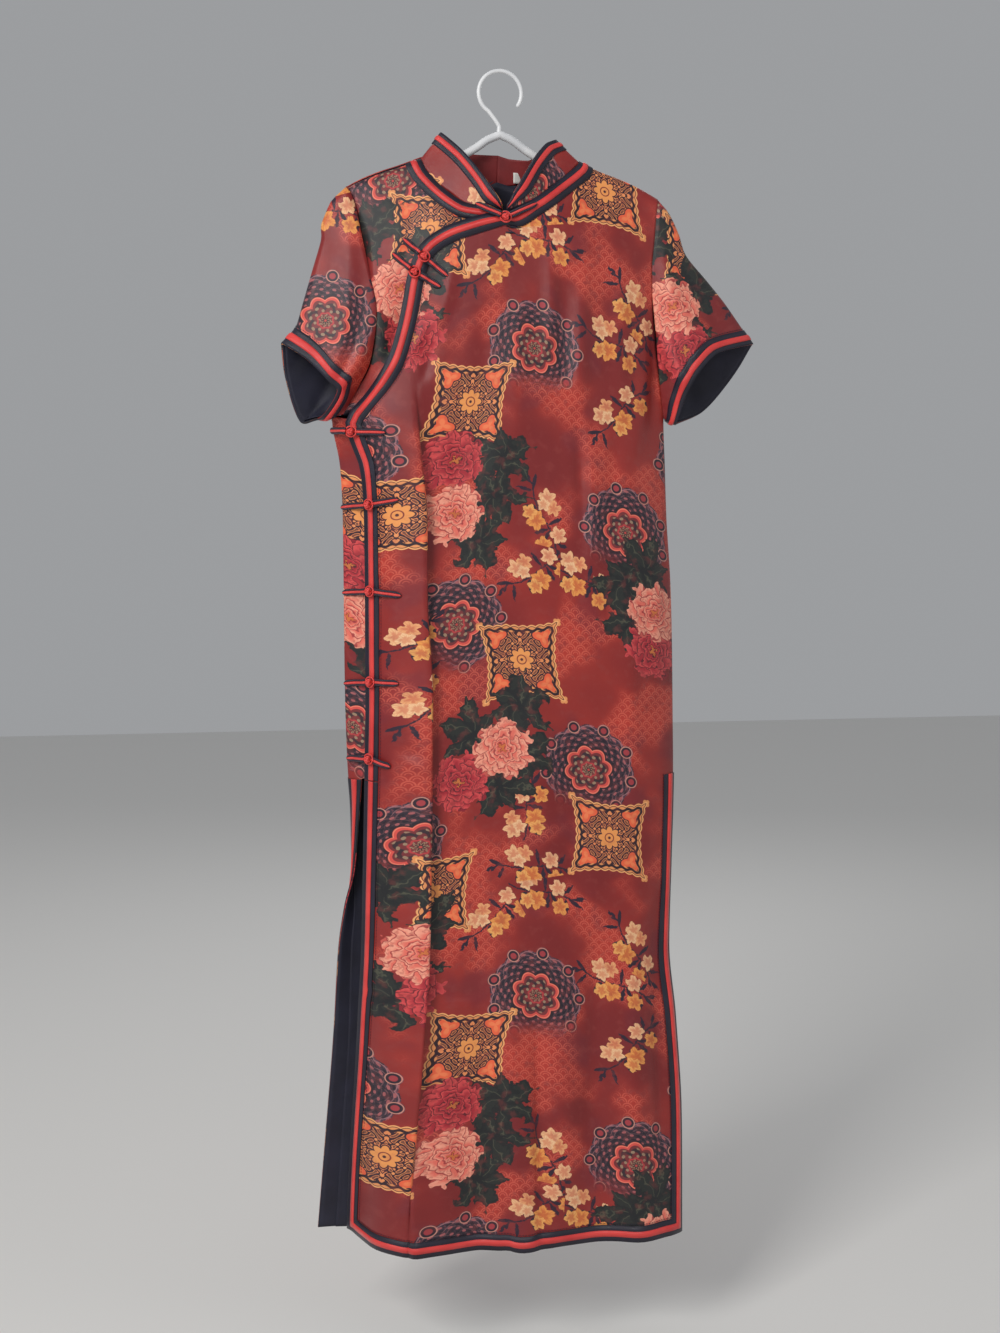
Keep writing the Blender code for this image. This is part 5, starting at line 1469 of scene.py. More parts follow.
# %% The creases of the front, flap and back: x and drop of both ends, lean, width, height
FRONT_CREASES = (
    (49, 200, 47, 330, 3, 8, 1.6), (62, 210, 66, 350, 2, 10, -1.5), (92, 205, 84, 430, -4, 10, 2.0),
    (78, 350, 88, 545, 3, 7, -2.2), (96, 380, 100, 640, 2, 13, 1.9), (130, 195, 133, 380, 4, 11, 1.8),
    (128, 395, 130, 520, -3, 8, -1.4), (174, 240, 176, 395, 3, 8, -2.2), (160, 300, 150, 430, 5, 9, 1.6),
    (20, 230, 12, 420, -5, 13, 1.3), (-20, 260, -30, 470, -3, 12, -1.2), (-62, 215, -80, 290, 4, 8, 1.5),
    (-92, 285, -108, 318, 2, 5, 2.0), (-84, 300, -96, 350, 2, 6, -1.8), (-60, 330, -72, 520, -2, 9, 1.2),
    (-126, 762, -92, 766, 3, 5, -1.4), (-120, 776, -96, 780, 2, 5, 1.2), (-160, 1044, -122, 1050, 3, 5, -1.5),
    (-84, 1034, -28, 1040, -4, 6, -1.3), (-80, 1048, -34, 1054, -3, 6, 1.0), (30, 600, 36, 930, 5, 16, 1.4),
    (88, 700, 80, 1010, -5, 15, -1.6), (140, 560, 146, 860, 4, 12, 1.5), (-36, 880, -28, 1342, 5, 16, -2.2),
    (6, 980, 8, 1352, -3, 14, 2.4), (34, 1060, 38, 1356, 2, 8, -4.2), (62, 1000, 66, 1352, 3, 15, 2.6),
    (106, 940, 108, 1352, -4, 15, -2.6), (146, 1020, 148, 1352, 3, 13, 2.2), (180, 930, 184, 1352, 3, 10, -2.6),
    (-66, 1020, -74, 1352, -3, 12, 1.8), (-140, 560, -138, 640, 2, 7, -0.8), (-136, 700, -140, 745, 2, 6, 0.8),
    (172, 470, 178, 700, 4, 10, 1.3), (110, 1120, 60, 1170, 8, 12, 0.8), (-10, 560, 60, 600, 8, 14, 0.7),
)
FLAP_CREASES = (
    (-118, 150, -140, 240, 6, 9, 1.2), (-100, 140, -112, 215, 3, 7, -1.0), (-150, 200, -132, 330, -5, 9, 1.4),
    (-120, 270, -150, 350, 4, 8, -1.1), (-60, 150, -84, 190, 3, 7, 0.9),
)
BACK_CREASES = (
    (-60, 150, -66, 420, 6, 12, 1.8), (-20, 140, -12, 380, -5, 14, -1.6), (34, 150, 44, 460, 4, 11, 1.9),
    (88, 190, 80, 520, -5, 13, -2.0), (128, 220, 134, 560, 4, 11, 2.0), (-112, 230, -104, 600, 5, 13, -2.1),
    (-84, 480, -78, 900, -6, 16, 2.2), (-30, 560, -38, 1010, 5, 18, -2.0), (22, 520, 30, 960, 4, 15, 2.1),
    (70, 640, 62, 1342, -5, 17, -2.6), (112, 700, 118, 1350, 4, 15, 2.8), (-10, 1000, -4, 1352, 4, 14, 3.0),
    (-56, 980, -64, 1352, -4, 13, -2.8), (-104, 930, -112, 1352, 3, 14, 2.6), (34, 1060, 28, 1352, 3, 11, -2.4),
    (150, 1000, 156, 1352, -3, 12, -2.2), (-60, 760, 10, 772, 8, 9, 0.9), (20, 420, 80, 408, -6, 8, 0.9),
    (-150, 300, -120, 400, 5, 9, 1.2), (160, 280, 140, 380, -5, 9, 1.3),
)


def crease_height(x, drop, creases):
    """Sum of the soft ridges and troughs at each point of a panel."""
    height = np.zeros_like(x)
    for x0, drop0, x1, drop1, lean, width, peak in creases:
        way = np.array([x1 - x0, drop1 - drop0], float)
        length = np.linalg.norm(way)
        way /= length
        along = ((x - x0) * way[0] + (drop - drop0) * way[1]) / length
        inside_span = np.clip(along, 0, 1)
        apart = (x - x0) * way[1] - (drop - drop0) * way[0] - lean * np.sin(inside_span * math.pi)
        beyond = (along - inside_span) * length
        fade = np.sin(np.clip(along, 0.0, 1.0) * math.pi) ** 0.7
        height += 1.9 * peak * fade * np.exp(-(apart / width) ** 2 - (beyond / width) ** 2)
    return height


def waver(x, drop, seed):
    """A very shallow unevenness that no two pieces share."""
    rng = np.random.default_rng(seed)
    height = np.zeros_like(x)
    for _ in range(7):
        wide, long_way = rng.uniform(45, 120), rng.uniform(160, 420)
        height += rng.uniform(0.15, 0.42) * np.sin(x / wide * math.tau / 2 + rng.uniform(0, 6.28)
                                                   + np.sin(drop / long_way * 3.1 + rng.uniform(0, 6.28)))
    return height


print("creases:", len(FRONT_CREASES), len(FLAP_CREASES), len(BACK_CREASES))

# %% [markdown]
# ## From few points to many
#
# The measured model has a few hundred points a panel. For soft cloth the same grid is
# filled in: every cell is split so that no step is longer than a few millimetres, and
# the points of the edges follow a smooth curve instead of straight chords.

# %% Filling in a grid
def steps_between(grid, step):
    """How many fine cells each coarse one takes, from its mean size."""
    gaps = np.linalg.norm(np.diff(grid, axis=0), axis=-1).mean(axis=1)
    return np.maximum(1, np.round(gaps / step).astype(int))


def fill_rows(grid, counts):
    """Smooth values between the rows of a grid, and the coarse row of each fine cell."""
    at = [0.0]
    cell = []
    for row, count in enumerate(counts):
        at += [row + (k + 1) / count for k in range(count)]
        cell += [row] * count
    flat = grid.reshape(len(grid), -1)
    filled = np.stack([smooth(range(len(grid)), flat[:, k], at) for k in range(flat.shape[1])], 1)
    return filled.reshape(len(at), *grid.shape[1:]), np.array(cell)


def fill_grid(grid, step):
    """The finer grid, with the coarse row and column of each of its cells."""
    row_counts = steps_between(grid, step * 1.4)
    column_counts = steps_between(np.swapaxes(grid, 0, 1), step)
    grid, row_of = fill_rows(grid, row_counts)
    turned, column_of = fill_rows(np.swapaxes(grid, 0, 1).copy(), column_counts)
    return np.swapaxes(turned, 0, 1), row_of, column_of


# %% [markdown]
# ## Cloth as a mesh
#
# A panel is one surface of four-sided cells. Its UV map is the cloth's own measure in
# metres, so a print laid on it isn't stretched by the folds. Solidify then grows the
# wall inwards, and can give the inner side a material of its own.

# %% Making a mesh piece
def finish_piece(piece, nodes):
    """Every piece rides on the one body and stands for its measured parts."""
    piece.data.shade_smooth()
    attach(piece, "root")
    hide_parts(*nodes)
    print(f"{piece.name}: {len(piece.data.polygons)} faces")
    return piece


def mesh_piece(name, vertices, faces, materials, uvs, face_materials=None):
    mesh = bpy.data.meshes.new(name)
    mesh.from_pydata((np.array(vertices) * MM).tolist(), [], faces)
    for material in materials:
        mesh.materials.append(CLOTHS[material])
    corner_of = np.zeros(len(mesh.loops), int)
    mesh.loops.foreach_get("vertex_index", corner_of)
    mesh.uv_layers.new(name="cloth").data.foreach_set("uv", (np.array(uvs)[corner_of] * MM).ravel())
    if face_materials is not None:
        mesh.polygons.foreach_set("material_index", face_materials)
    mesh.update()
    piece = bpy.data.objects.new(name, mesh)
    bpy.context.collection.objects.link(piece)
    return piece


def cloth_piece(name, points, uvs, slot, wall, keep=None, closed=False, inner=None):
    """A grid of points as a sheet with a wall; keep picks its cells."""
    rows, columns = points.shape[:2]
    last = columns if closed else columns - 1
    faces = []
    for i in range(rows - 1):
        for j in range(last):
            if keep is None or keep(i, j):
                k = (j + 1) % columns
                faces.append((i * columns + j, (i + 1) * columns + j, (i + 1) * columns + k, i * columns + k))
    used = sorted({index for face in faces for index in face})
    place = {index: count for count, index in enumerate(used)}
    faces = [tuple(place[index] for index in face) for face in faces]
    materials = [slot] if inner is None else [slot, inner]
    piece = mesh_piece(name + "_cloth", points.reshape(-1, 3)[used], faces, materials, uvs.reshape(-1, 2)[used])
    thick = piece.modifiers.new("wall", "SOLIDIFY")
    thick.thickness = wall * MM
    thick.offset = -1
    thick.use_even_offset = False
    thick.use_quality_normals = True
    if inner is not None:
        thick.material_offset = 1
    return finish_piece(piece, [name])


def measure(piece):
    """Area of one side of a sheet, in square metres."""
    mesh = bpy.data.meshes.new_from_object(piece.evaluated_get(bpy.context.evaluated_depsgraph_get()))
    area = sum(polygon.area for polygon in mesh.polygons) / 2
    bpy.data.meshes.remove(mesh)
    return area


# %% [markdown]
# ## Bound edges
#
# Every edge of this dress is bound with a navy strip that has a narrower coral cord
# strip laid over its middle. Both follow the panel's own cells, lifted off it. The
# coral strip is highest along its middle, which gives it a line of light.

# %% A binding over the edge cells of a panel
def rounded(j_of, first, last, height):
    """Height of a strip's crown at each column, between two coarse columns."""
    count = len(j_of) + 1
    crown = np.zeros(count)
    inside_cells = [j for j in range(len(j_of)) if first <= j_of[j] <= last]
    if inside_cells:
        low, high = inside_cells[0], inside_cells[-1] + 1
        for j in range(low, high + 1):
            crown[j] = height * math.sin(math.pi * (j - low) / (high - low)) ** 0.6
    return crown


def bind_edge(name, points, uvs, band_cells, piping_cells, crown, closed=False):
    lifted = moved_out(points, 1.15, closed)
    band = cloth_piece(name.replace("@", "band"), lifted, uvs, "navy", 0.9, band_cells, closed)
    raised = points + mesh_normals(points, closed) * (1.75 + crown)[..., None]
    piping = cloth_piece(name.replace("@", "piping"), raised, uvs, "red", 0.7, piping_cells, closed)
    return [band, piping]


# %% [markdown]
# ## The front
#
# The front is the piece that makes the dress. It crosses over at the neck, its edge
# curves to the underarm and runs down the left side, and the cloth beyond it folds over
# on itself all the way to the hem.

# %% The front and its bindings
SHEETS = {}


def cloth_uv(grid):
    """Cloth measure of each grid point: station across, and run down from the shoulder."""
    station, run = grid[..., 0], grid[..., 1]
    return np.stack([station, -(seam_drop(station) * 0.6 + run + 26)], -1)


def near_edges(i, j, row_of, column_of, rows, columns, slit):
    """Which binding cell this is, counted inwards from the side or the hem."""
    side = min(column_of[j], columns - 2 - column_of[j])
    return min(side, rows - 2 - row_of[i]) if row_of[i] >= slit else None


def skirt_crown(row_of, column_of, rows, columns):
    """Crown of the coral strip along both sides and the hem of a skirt."""
    crown = np.maximum(rounded(column_of, 1, 1, 0.6), rounded(column_of, columns - 3, columns - 3, 0.6))
    low = rounded(row_of, rows - 3, rows - 3, 0.6)
    return np.maximum(crown[None, :], low[:, None])


def make_front():
    coarse = front_grid()
    rows, columns = coarse.shape[:2]
    slit = len(FRONT_ROWS) + LEVEL_ROWS.index(SLIT_TOP)
    grid, row_of, column_of = fill_grid(coarse, 4.0)
    points = front_surface(grid[..., 0], grid[..., 1])
    still = np.clip(grid[..., 1] / 60, 0, 1)
    height = crease_height(points[..., 0], -points[..., 2], FRONT_CREASES) + waver(grid[..., 0], grid[..., 1], 3)
    points = points + mesh_normals(points) * (height * still)[..., None]
    uvs = cloth_uv(grid)
    front = cloth_piece("front", points, uvs, "satin", 1.1, inner="lining")

    def opening(i, j, first, last):
        return row_of[i] < slit - 1 and first <= column_of[j] <= last

    def skirt(i, j, first, last):
        near = near_edges(i, j, row_of, column_of, rows, columns, slit)
        return near is not None and first <= near <= last

    pieces = bind_edge("opening_@", points, uvs, lambda i, j: opening(i, j, 0, 2),
                       lambda i, j: opening(i, j, 1, 1), rounded(column_of, 1, 1, 0.6)[None, :])
    pieces += bind_edge("front_skirt_@", points, uvs, lambda i, j: skirt(i, j, 0, 2),
                        lambda i, j: skirt(i, j, 1, 1), skirt_crown(row_of, column_of, rows, columns))
    SHEETS["front"] = (front, pieces)
    return points, row_of, column_of, slit


FRONT_POINTS, FRONT_ROW_OF, FRONT_COLUMN_OF, FRONT_SLIT = make_front()

# %% [markdown]
# ## The under-front
#
# Under the curved opening lies a small panel, sewn to the shoulder and the left armhole.
# It is the part of the chest that the crossing front doesn't cover.

# %% The under-front
def make_flap():
    coarse = flap_grid()
    columns = coarse.shape[1]
    grid, row_of, column_of = fill_grid(coarse, 4.5)
    points = flap_surface(grid[..., 0], grid[..., 1])
    still = np.clip(grid[..., 1] / 40, 0, 1)
    height = crease_height(points[..., 0], -points[..., 2], FLAP_CREASES) * still
    points = points + mesh_normals(points) * height[..., None]
    uvs = cloth_uv(grid) + np.array([0.0, -8.0])
    flap = cloth_piece("front_flap", points, uvs, "satin", 1.1, inner="lining")
    pieces = bind_edge("flap_neck_@", points, uvs,
                       lambda i, j: row_of[i] < 5 and column_of[j] > columns - 5,
                       lambda i, j: row_of[i] < 5 and column_of[j] == columns - 3,
                       rounded(column_of, columns - 3, columns - 3, 0.6)[None, :])
    SHEETS["front_flap"] = (flap, pieces)


make_flap()

# %% [markdown]
# ## The back
#
# The back is cut in one, and its left side wraps forward under the front's closing edge.
# Below the slit both sides hang free, so the loose navy lining shows beside it.

# %% The back and its lining
def make_back():
    coarse = back_grid()
    rows, columns = coarse.shape[:2]
    slit = rows - len(LEVEL_ROWS) + LEVEL_ROWS.index(SLIT_TOP)
    grid, row_of, column_of = fill_grid(coarse, 4.5)
    points = back_surface(grid[..., 0], grid[..., 1])
    share = np.clip(grid[..., 1] / 60, 0, 1) * np.clip((200 - grid[..., 0]) / 30, 0, 1)
    height = crease_height(points[..., 0], -points[..., 2], BACK_CREASES) + waver(grid[..., 0], grid[..., 1], 8)
    points = points + mesh_normals(points) * (height * share)[..., None]
    uvs = cloth_uv(grid) + np.array([150.0, 90.0])
    back = cloth_piece("back", points, uvs, "satin", 1.1, inner="lining")

    def skirt(i, j, first, last):
        near = near_edges(i, j, row_of, column_of, rows, columns, slit)
        return near is not None and first <= near <= last

    def lined(i, j):
        last = columns - (4 if row_of[i] >= slit else 8)
        return row_of[i] > 0 and 3 <= column_of[j] < last

    pieces = bind_edge("back_skirt_@", points, uvs, lambda i, j: skirt(i, j, 0, 2),
                       lambda i, j: skirt(i, j, 1, 1), skirt_crown(row_of, column_of, rows, columns))
    lining = cloth_piece("back_lining", moved_out(points, -1.9), uvs, "lining", 0.8, lined)
    SHEETS["back"] = (back, pieces)
    SHEETS["back_lining"] = (lining, [])
    return points, row_of, column_of, slit


BACK_POINTS, BACK_ROW_OF, BACK_COLUMN_OF, BACK_SLIT = make_back()

# %% [markdown]
# ## Sleeves
#
# A sleeve is a row of rings from the armhole to the cuff. Hung empty, it falls in on
# itself, with diagonal pulls from the shoulder's end, so its rings are pushed in and out
# by a few long waves.

# %% Sleeves, sleeve linings and cuffs
SLEEVE_PULLS = (   # bearing in degrees, along, lean, width in degrees, height
    (52, 0.10, 46, 13, 3.0), (80, 0.25, 34, 11, -2.8), (104, 0.15, 26, 10, 2.4), (132, 0.30, 10, 11, -2.0),
    (26, 0.35, 22, 11, -1.6), (200, 0.20, -26, 14, 2.2), (236, 0.25, -34, 12, -2.6), (270, 0.15, -40, 12, 2.8),
    (306, 0.30, -28, 13, -2.0),
)


def sleeve_pull(bearing_of, along):
    degrees = np.degrees(bearing_of)
    height = np.zeros(np.broadcast(degrees, along).shape)
    for middle, start, lean, width, peak in SLEEVE_PULLS:
        apart = (degrees - middle - lean * along + 180) % 360 - 180
        height += peak * np.exp(-(apart / width) ** 2) * np.sin(np.clip((along - start + 0.3) / 1.3, 0, 1) * math.pi)
    return height * np.clip((1 - along) / 0.25, 0.25, 1) * np.clip(along / 0.12, 0, 1)


def make_sleeve(name, side, cuff, top_line):
    sleeve = Sleeve(side, cuff, top_line)
    inner_line = sleeve.grid()[len(SLEEVE_RINGS), :, 1]
    bearings = np.linspace(0, math.tau, 73)[:-1]
    coarse_bearings = np.append(sleeve.grid()[0, :, 0], math.tau)
    inner_line = np.append(inner_line, inner_line[0])
    last = smooth(coarse_bearings, inner_line, bearings)
    tube_rows = [last * share for share in np.linspace(0, 1, 27)]
    lines = (TRIM_WIDTH, 16.0, RED_END, 10.75, 9.0, 7.25, RED_START, 2.75, 0.0)
    edge_rows = [last + (1 - last) * (1 - line / TRIM_WIDTH) for line in lines[1:]]
    along = np.array(tube_rows + edge_rows)
    bearing_of = np.broadcast_to(bearings, along.shape)
    points = sleeve.surface(bearing_of, along)
    if side > 0:
        points, bearing_of, along = points[:, ::-1], bearing_of[:, ::-1], along[:, ::-1]
    points = points + mesh_normals(points, True) * sleeve_pull(bearing_of, along)[..., None]
    uvs = points[..., [0, 2]] + (np.array([-315.0, 17.0]) if side > 0 else np.array([232.0, -31.0]))
    rows = len(points)
    outer = cloth_piece("sleeve_" + name, points, uvs, "satin", 1.1, closed=True, inner="lining")
    inside_points = moved_out(points, -2.6, True)
    lining = cloth_piece("sleeve_lining_" + name, inside_points, uvs, "lining", 0.8,
                         lambda i, j: 4 <= i < rows - 2, True)
    crown = np.zeros((rows, 1))
    crown[-7:-2, 0] = (0.0, 0.45, 0.6, 0.45, 0.0)
    pieces = bind_edge("cuff_@_" + name, points, uvs, lambda i, j: i >= rows - 9,
                       lambda i, j: rows - 7 <= i < rows - 3, crown, True)
    SHEETS["sleeve_" + name] = (outer, pieces)
    SHEETS["sleeve_lining_" + name] = (lining, [])
    return points


SLEEVE_POINTS = {}
for sleeve_name, sleeve_side, sleeve_cuff, sleeve_top in (
        ("left", -1, CUFF_LEFT, SLEEVE_TOP_LEFT), ("right", 1, CUFF_RIGHT, SLEEVE_TOP_RIGHT)):
    SLEEVE_POINTS[sleeve_name] = make_sleeve(sleeve_name, sleeve_side, sleeve_cuff, sleeve_top)

# %% [markdown]
# ## The stand collar
#
# Two halves meet at the centre back and open in a V at the throat. Each half is a curved
# band that stands on the neckline, bound along its top.

# %% Collar halves and the label
def make_collar(name, table):
    points = collar_points(table)
    if name == "left":
        points = points[:, ::-1]
    flat = np.zeros((*points.shape[:2], 2))
    flat[..., 0] = np.cumsum(np.append(0, np.linalg.norm(np.diff(points, axis=1), axis=-1).mean(axis=0)))
    flat[..., 1] = -np.cumsum(np.vstack([np.zeros(points.shape[1]),
                                         np.linalg.norm(np.diff(points, axis=0), axis=-1)]), axis=0)
    joined = np.concatenate([points, flat], -1)
    rows, row_of = fill_rows(joined, (2, 4, 3, 5, 5))
    turned, _ = fill_rows(np.swapaxes(rows, 0, 1).copy(), (6,) * (points.shape[1] - 1))
    fine = np.swapaxes(turned, 0, 1)
    points, uvs = fine[..., :3], fine[..., 3:] + np.array([-160.0, -100.0])
    collar = cloth_piece("collar_" + name, points, uvs, "satin", 1.2, inner="satin_back")
    crown = rounded(row_of, 1, 1, 0.5)[:, None]
    pieces = bind_edge("collar_@_" + name, points, uvs, lambda i, j: row_of[i] <= 2,
                       lambda i, j: row_of[i] == 1, crown)
    SHEETS["collar_" + name] = (collar, pieces)


def make_label():
    """A small blank label, sewn inside the collar and bowed a little."""
    low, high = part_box("neck_label")
    low, high = Vector(low) / MM, Vector(high) / MM
    rows = []
    for down in np.linspace(0, 1, 7):
        row = []
        for over in np.linspace(0, 1, 6):
            x = low.x + (high.x - low.x) * over
            y = low.y + (high.y - low.y) * (0.25 + 0.5 * over) - 0.4 * math.sin(over * math.pi)
            row.append((x, y, high.z + (low.z - high.z) * down))
        rows.append(row)
    points = np.array(rows)[:, ::-1]
    uvs = np.stack([points[..., 0], points[..., 2]], -1)
    label = cloth_piece("neck_label", points[:, ::-1], uvs[:, ::-1], "label", 0.5)
    SHEETS["collar_right"][1].append(label)


make_collar("left", COLLAR_LEFT)
make_collar("right", COLLAR_RIGHT)
make_label()

# %% [markdown]
# ## Frogs
#
# A frog is a bias cord sewn flat in two rows, ending in a knot on one side and a loop on
# the other. Here each leg is a coral cord between two navy ones. A cord is a row of
# rings along a path, and the knot is a cord that winds over and under round a ball.

# %% A cord along a path
def smooth_path(path, count):
    """More points along a path, spaced evenly on a smooth curve."""
    path = np.asarray(path, float)
    marks = np.append(0, np.cumsum(np.linalg.norm(np.diff(path, axis=0), axis=1)))
    at = np.linspace(0, marks[-1], count)
    return across_path(marks, path, at)


def across_path(marks, values, at):
    """Smooth curve through rows of values at the marks."""
    return np.stack([across(marks, list(values[:, k]), at) for k in range(values.shape[1])], -1)


def cord_rings(path, radius, sides, ups, flatten=1.0, closed=False):
    """Vertices, faces and uvs of a round cord along a path; ups are its upward directions."""
    path = np.asarray(path, float)
    count = len(path)
    if closed:
        tangent = np.roll(path, -1, 0) - np.roll(path, 1, 0)
    else:
        tangent = np.gradient(path, axis=0)
    tangent /= np.linalg.norm(tangent, axis=1, keepdims=True)
    sideways = np.cross(tangent, ups)
    sideways /= np.linalg.norm(sideways, axis=1, keepdims=True)
    upward = np.cross(sideways, tangent)
    radius = np.broadcast_to(radius, (count,))
    turns = np.linspace(0, math.tau, sides, endpoint=False)
    rings = path[:, None] + radius[:, None, None] * (np.cos(turns)[None, :, None] * sideways[:, None]
                                                     + flatten * np.sin(turns)[None, :, None] * upward[:, None])
    vertices = list(rings.reshape(-1, 3))
    length = np.append(0, np.cumsum(np.linalg.norm(np.diff(path, axis=0), axis=1)))
    uvs = [(turn * 2.0, reach) for reach in length for turn in turns]
    faces = []
    for i in range(count if closed else count - 1):
        for j in range(sides):
            k, m = (j + 1) % sides, (i + 1) % count
            faces.append((i * sides + j, i * sides + k, m * sides + k, m * sides + j))
    if not closed:
        faces.append(tuple(range(sides - 1, -1, -1)))
        faces.append(tuple(range((count - 1) * sides, count * sides)))
    return vertices, faces, uvs


def join_cords(name, cords, nodes):
    """Several cords as one piece; each is (vertices, faces, uvs, material)."""
    vertices, faces, uvs, face_materials = [], [], [], []
    kinds = []
    for cord_vertices, cord_faces, cord_uvs, kind in cords:
        if kind not in kinds:
            kinds.append(kind)
        start = len(vertices)
        vertices += list(cord_vertices)
        uvs += list(cord_uvs)
        faces += [tuple(start + index for index in face) for face in cord_faces]
        face_materials += [kinds.index(kind)] * len(cord_faces)
    piece = mesh_piece(name + "_made", vertices, faces, kinds, uvs, face_materials)
    return finish_piece(piece, nodes)


# %% Legs, knots and loops
def frog_leg_cords(path, ups, side_start=2.55):
    """Coral cord between two navy ones, which close in towards the tip."""
    count = 22
    fine = smooth_path(path, count)
    fine_ups = smooth_path(np.asarray(ups) * 50 + np.asarray(path) * 0, len(path))
    marks = np.linspace(0, 1, len(path))
    ups = np.stack([np.interp(np.linspace(0, 1, count), marks, fine_ups[:, k]) for k in range(3)], -1)
    ups /= np.linalg.norm(ups, axis=1, keepdims=True)
    tangent = np.gradient(fine, axis=0)
    tangent /= np.linalg.norm(tangent, axis=1, keepdims=True)
    sideways = np.cross(tangent, ups)
    at = np.linspace(0, 1, count)
    spread = side_start * np.sqrt(np.clip(1.0 - np.clip((at - 0.80) / 0.20, 0, 1) ** 2, 0.02, 1))
    taper = np.clip(1.15 - np.clip((at - 0.86) / 0.14, 0, 1) * 0.5, 0.3, 1.15)
    cords = []
    for way, radius, kind in ((-1, 1.25, "navy_cord"), (1, 1.25, "navy_cord"), (0, 1.45, "red_cord")):
        lift = 1.3 if way else 1.55
        line_of = fine + sideways * (way * spread)[:, None] + ups * lift
        cords.append((*cord_rings(line_of, radius * taper, 8, ups), kind))
    return cords


def knot_cords(centre, up, radius):
    """A button knot: one cord wound over a ball, with a core that fills it."""
    side = np.cross(up, (0.2, 0.1, 1.0))
    side /= np.linalg.norm(side)
    other = np.cross(up, side)
    turns = np.linspace(0, math.tau, 90, endpoint=False)
    high = 0.92 * np.sin(3 * turns)
    bow = 2 * turns
    shell = radius * (1 + 0.07 * np.cos(6 * turns))
    flat = np.sqrt(1 - high ** 2)
    path = (centre + (shell * flat * np.cos(bow))[:, None] * side + (shell * flat * np.sin(bow))[:, None] * other
            + (shell * high)[:, None] * up)
    ups = path - centre
    cords = [(*cord_rings(path, 1.35, 8, ups, 0.8, True), "red_cord")]
    core_rows = []
    for slope in np.linspace(-88, 88, 9):
        angle = math.radians(slope)
        core_rows.append((centre + up * radius * 0.93 * math.sin(angle), radius * 0.93 * math.cos(angle)))
    core_path = np.array([row[0] for row in core_rows])
    core_radius = np.array([row[1] for row in core_rows])
    cords.append((*cord_rings(core_path, core_radius, 16, np.broadcast_to(side, core_path.shape)), "red_cord"))
    return cords


def make_frog(name, knot, tip, far_tip, host):
    over_trim = 2 * (TRIM_GAP + TRIM_WALL) + 0.1
    reach = math.dist(knot, tip)
    clear = 12.5 / reach
    rest = over_trim if host == "trim" else 0.6
    shares = (0, 6 / reach, clear, clear + 0.18, (clear + 1.15) / 2, 1)
    lifts = np.array([over_trim, over_trim, over_trim, rest + 0.3, rest, rest])
    marks = front_marks([between(knot, tip, share) for share in shares])
    points, normals = place_on(front_surface, marks, lifts[:, None])
    centre, up = points[0], normals[0]
    cords = frog_leg_cords(points, normals)
    cords += knot_cords(centre + up * (FROG_HEIGHT + KNOT_RADIUS * 0.75), up, KNOT_RADIUS - 1.1)
    knot_piece = join_cords(name + "_knot", cords, [name + "_knot"])

    outer = 10.5 / math.dist(knot, far_tip)
    edge, _ = place_on(front_surface, front_marks([between(knot, far_tip, outer)]), over_trim)
    away = edge[0] - centre
    away -= up * np.dot(away, up)
    away /= np.linalg.norm(away)
    level = centre + up * (FROG_HEIGHT + 0.4)
    host_surface = {"back": back_surface, "flap": flap_surface, "trim": plain_surface}[host]
    shares = (outer + 0.22, (outer + 1.25) / 2, 1)
    marks = host_marks(host, [between(knot, far_tip, share) for share in shares])
    tail, tail_normals = place_on(host_surface, marks, np.array([[rest + 0.6], [rest], [rest]]))
    start = np.array([level + away * (LOOP_RADIUS - 0.6), level + away * (LOOP_RADIUS + 3.4)])
    path = np.vstack([start, tail])
    cords = frog_leg_cords(path, np.vstack([[up, up], tail_normals]))
    turns = np.linspace(0, math.tau, 40, endpoint=False)
    across_way = np.cross(up, away)
    ring = (level + up * 0.9 + np.cos(turns)[:, None] * away * LOOP_RADIUS
            + np.sin(turns)[:, None] * across_way * (LOOP_RADIUS - 0.5))
    cords.append((*cord_rings(ring, 0.95, 8, np.broadcast_to(up, ring.shape), 1.0, True), "red_cord"))
    loop_piece = join_cords(name + "_loop", cords, [name + "_loop"])
    SHEETS["front"][1].extend([knot_piece, loop_piece])


for frog_name, knot_at, tip_at, far_tip_at, lies_on in FROGS:
    make_frog(frog_name, knot_at, tip_at, far_tip_at, lies_on)

# %% [markdown]
# ## The hanger
#
# The hanger is moulded in one: a bell-shaped bar that the shoulders lie on, and a round
# hook. Both are cords of plastic along a smooth path.

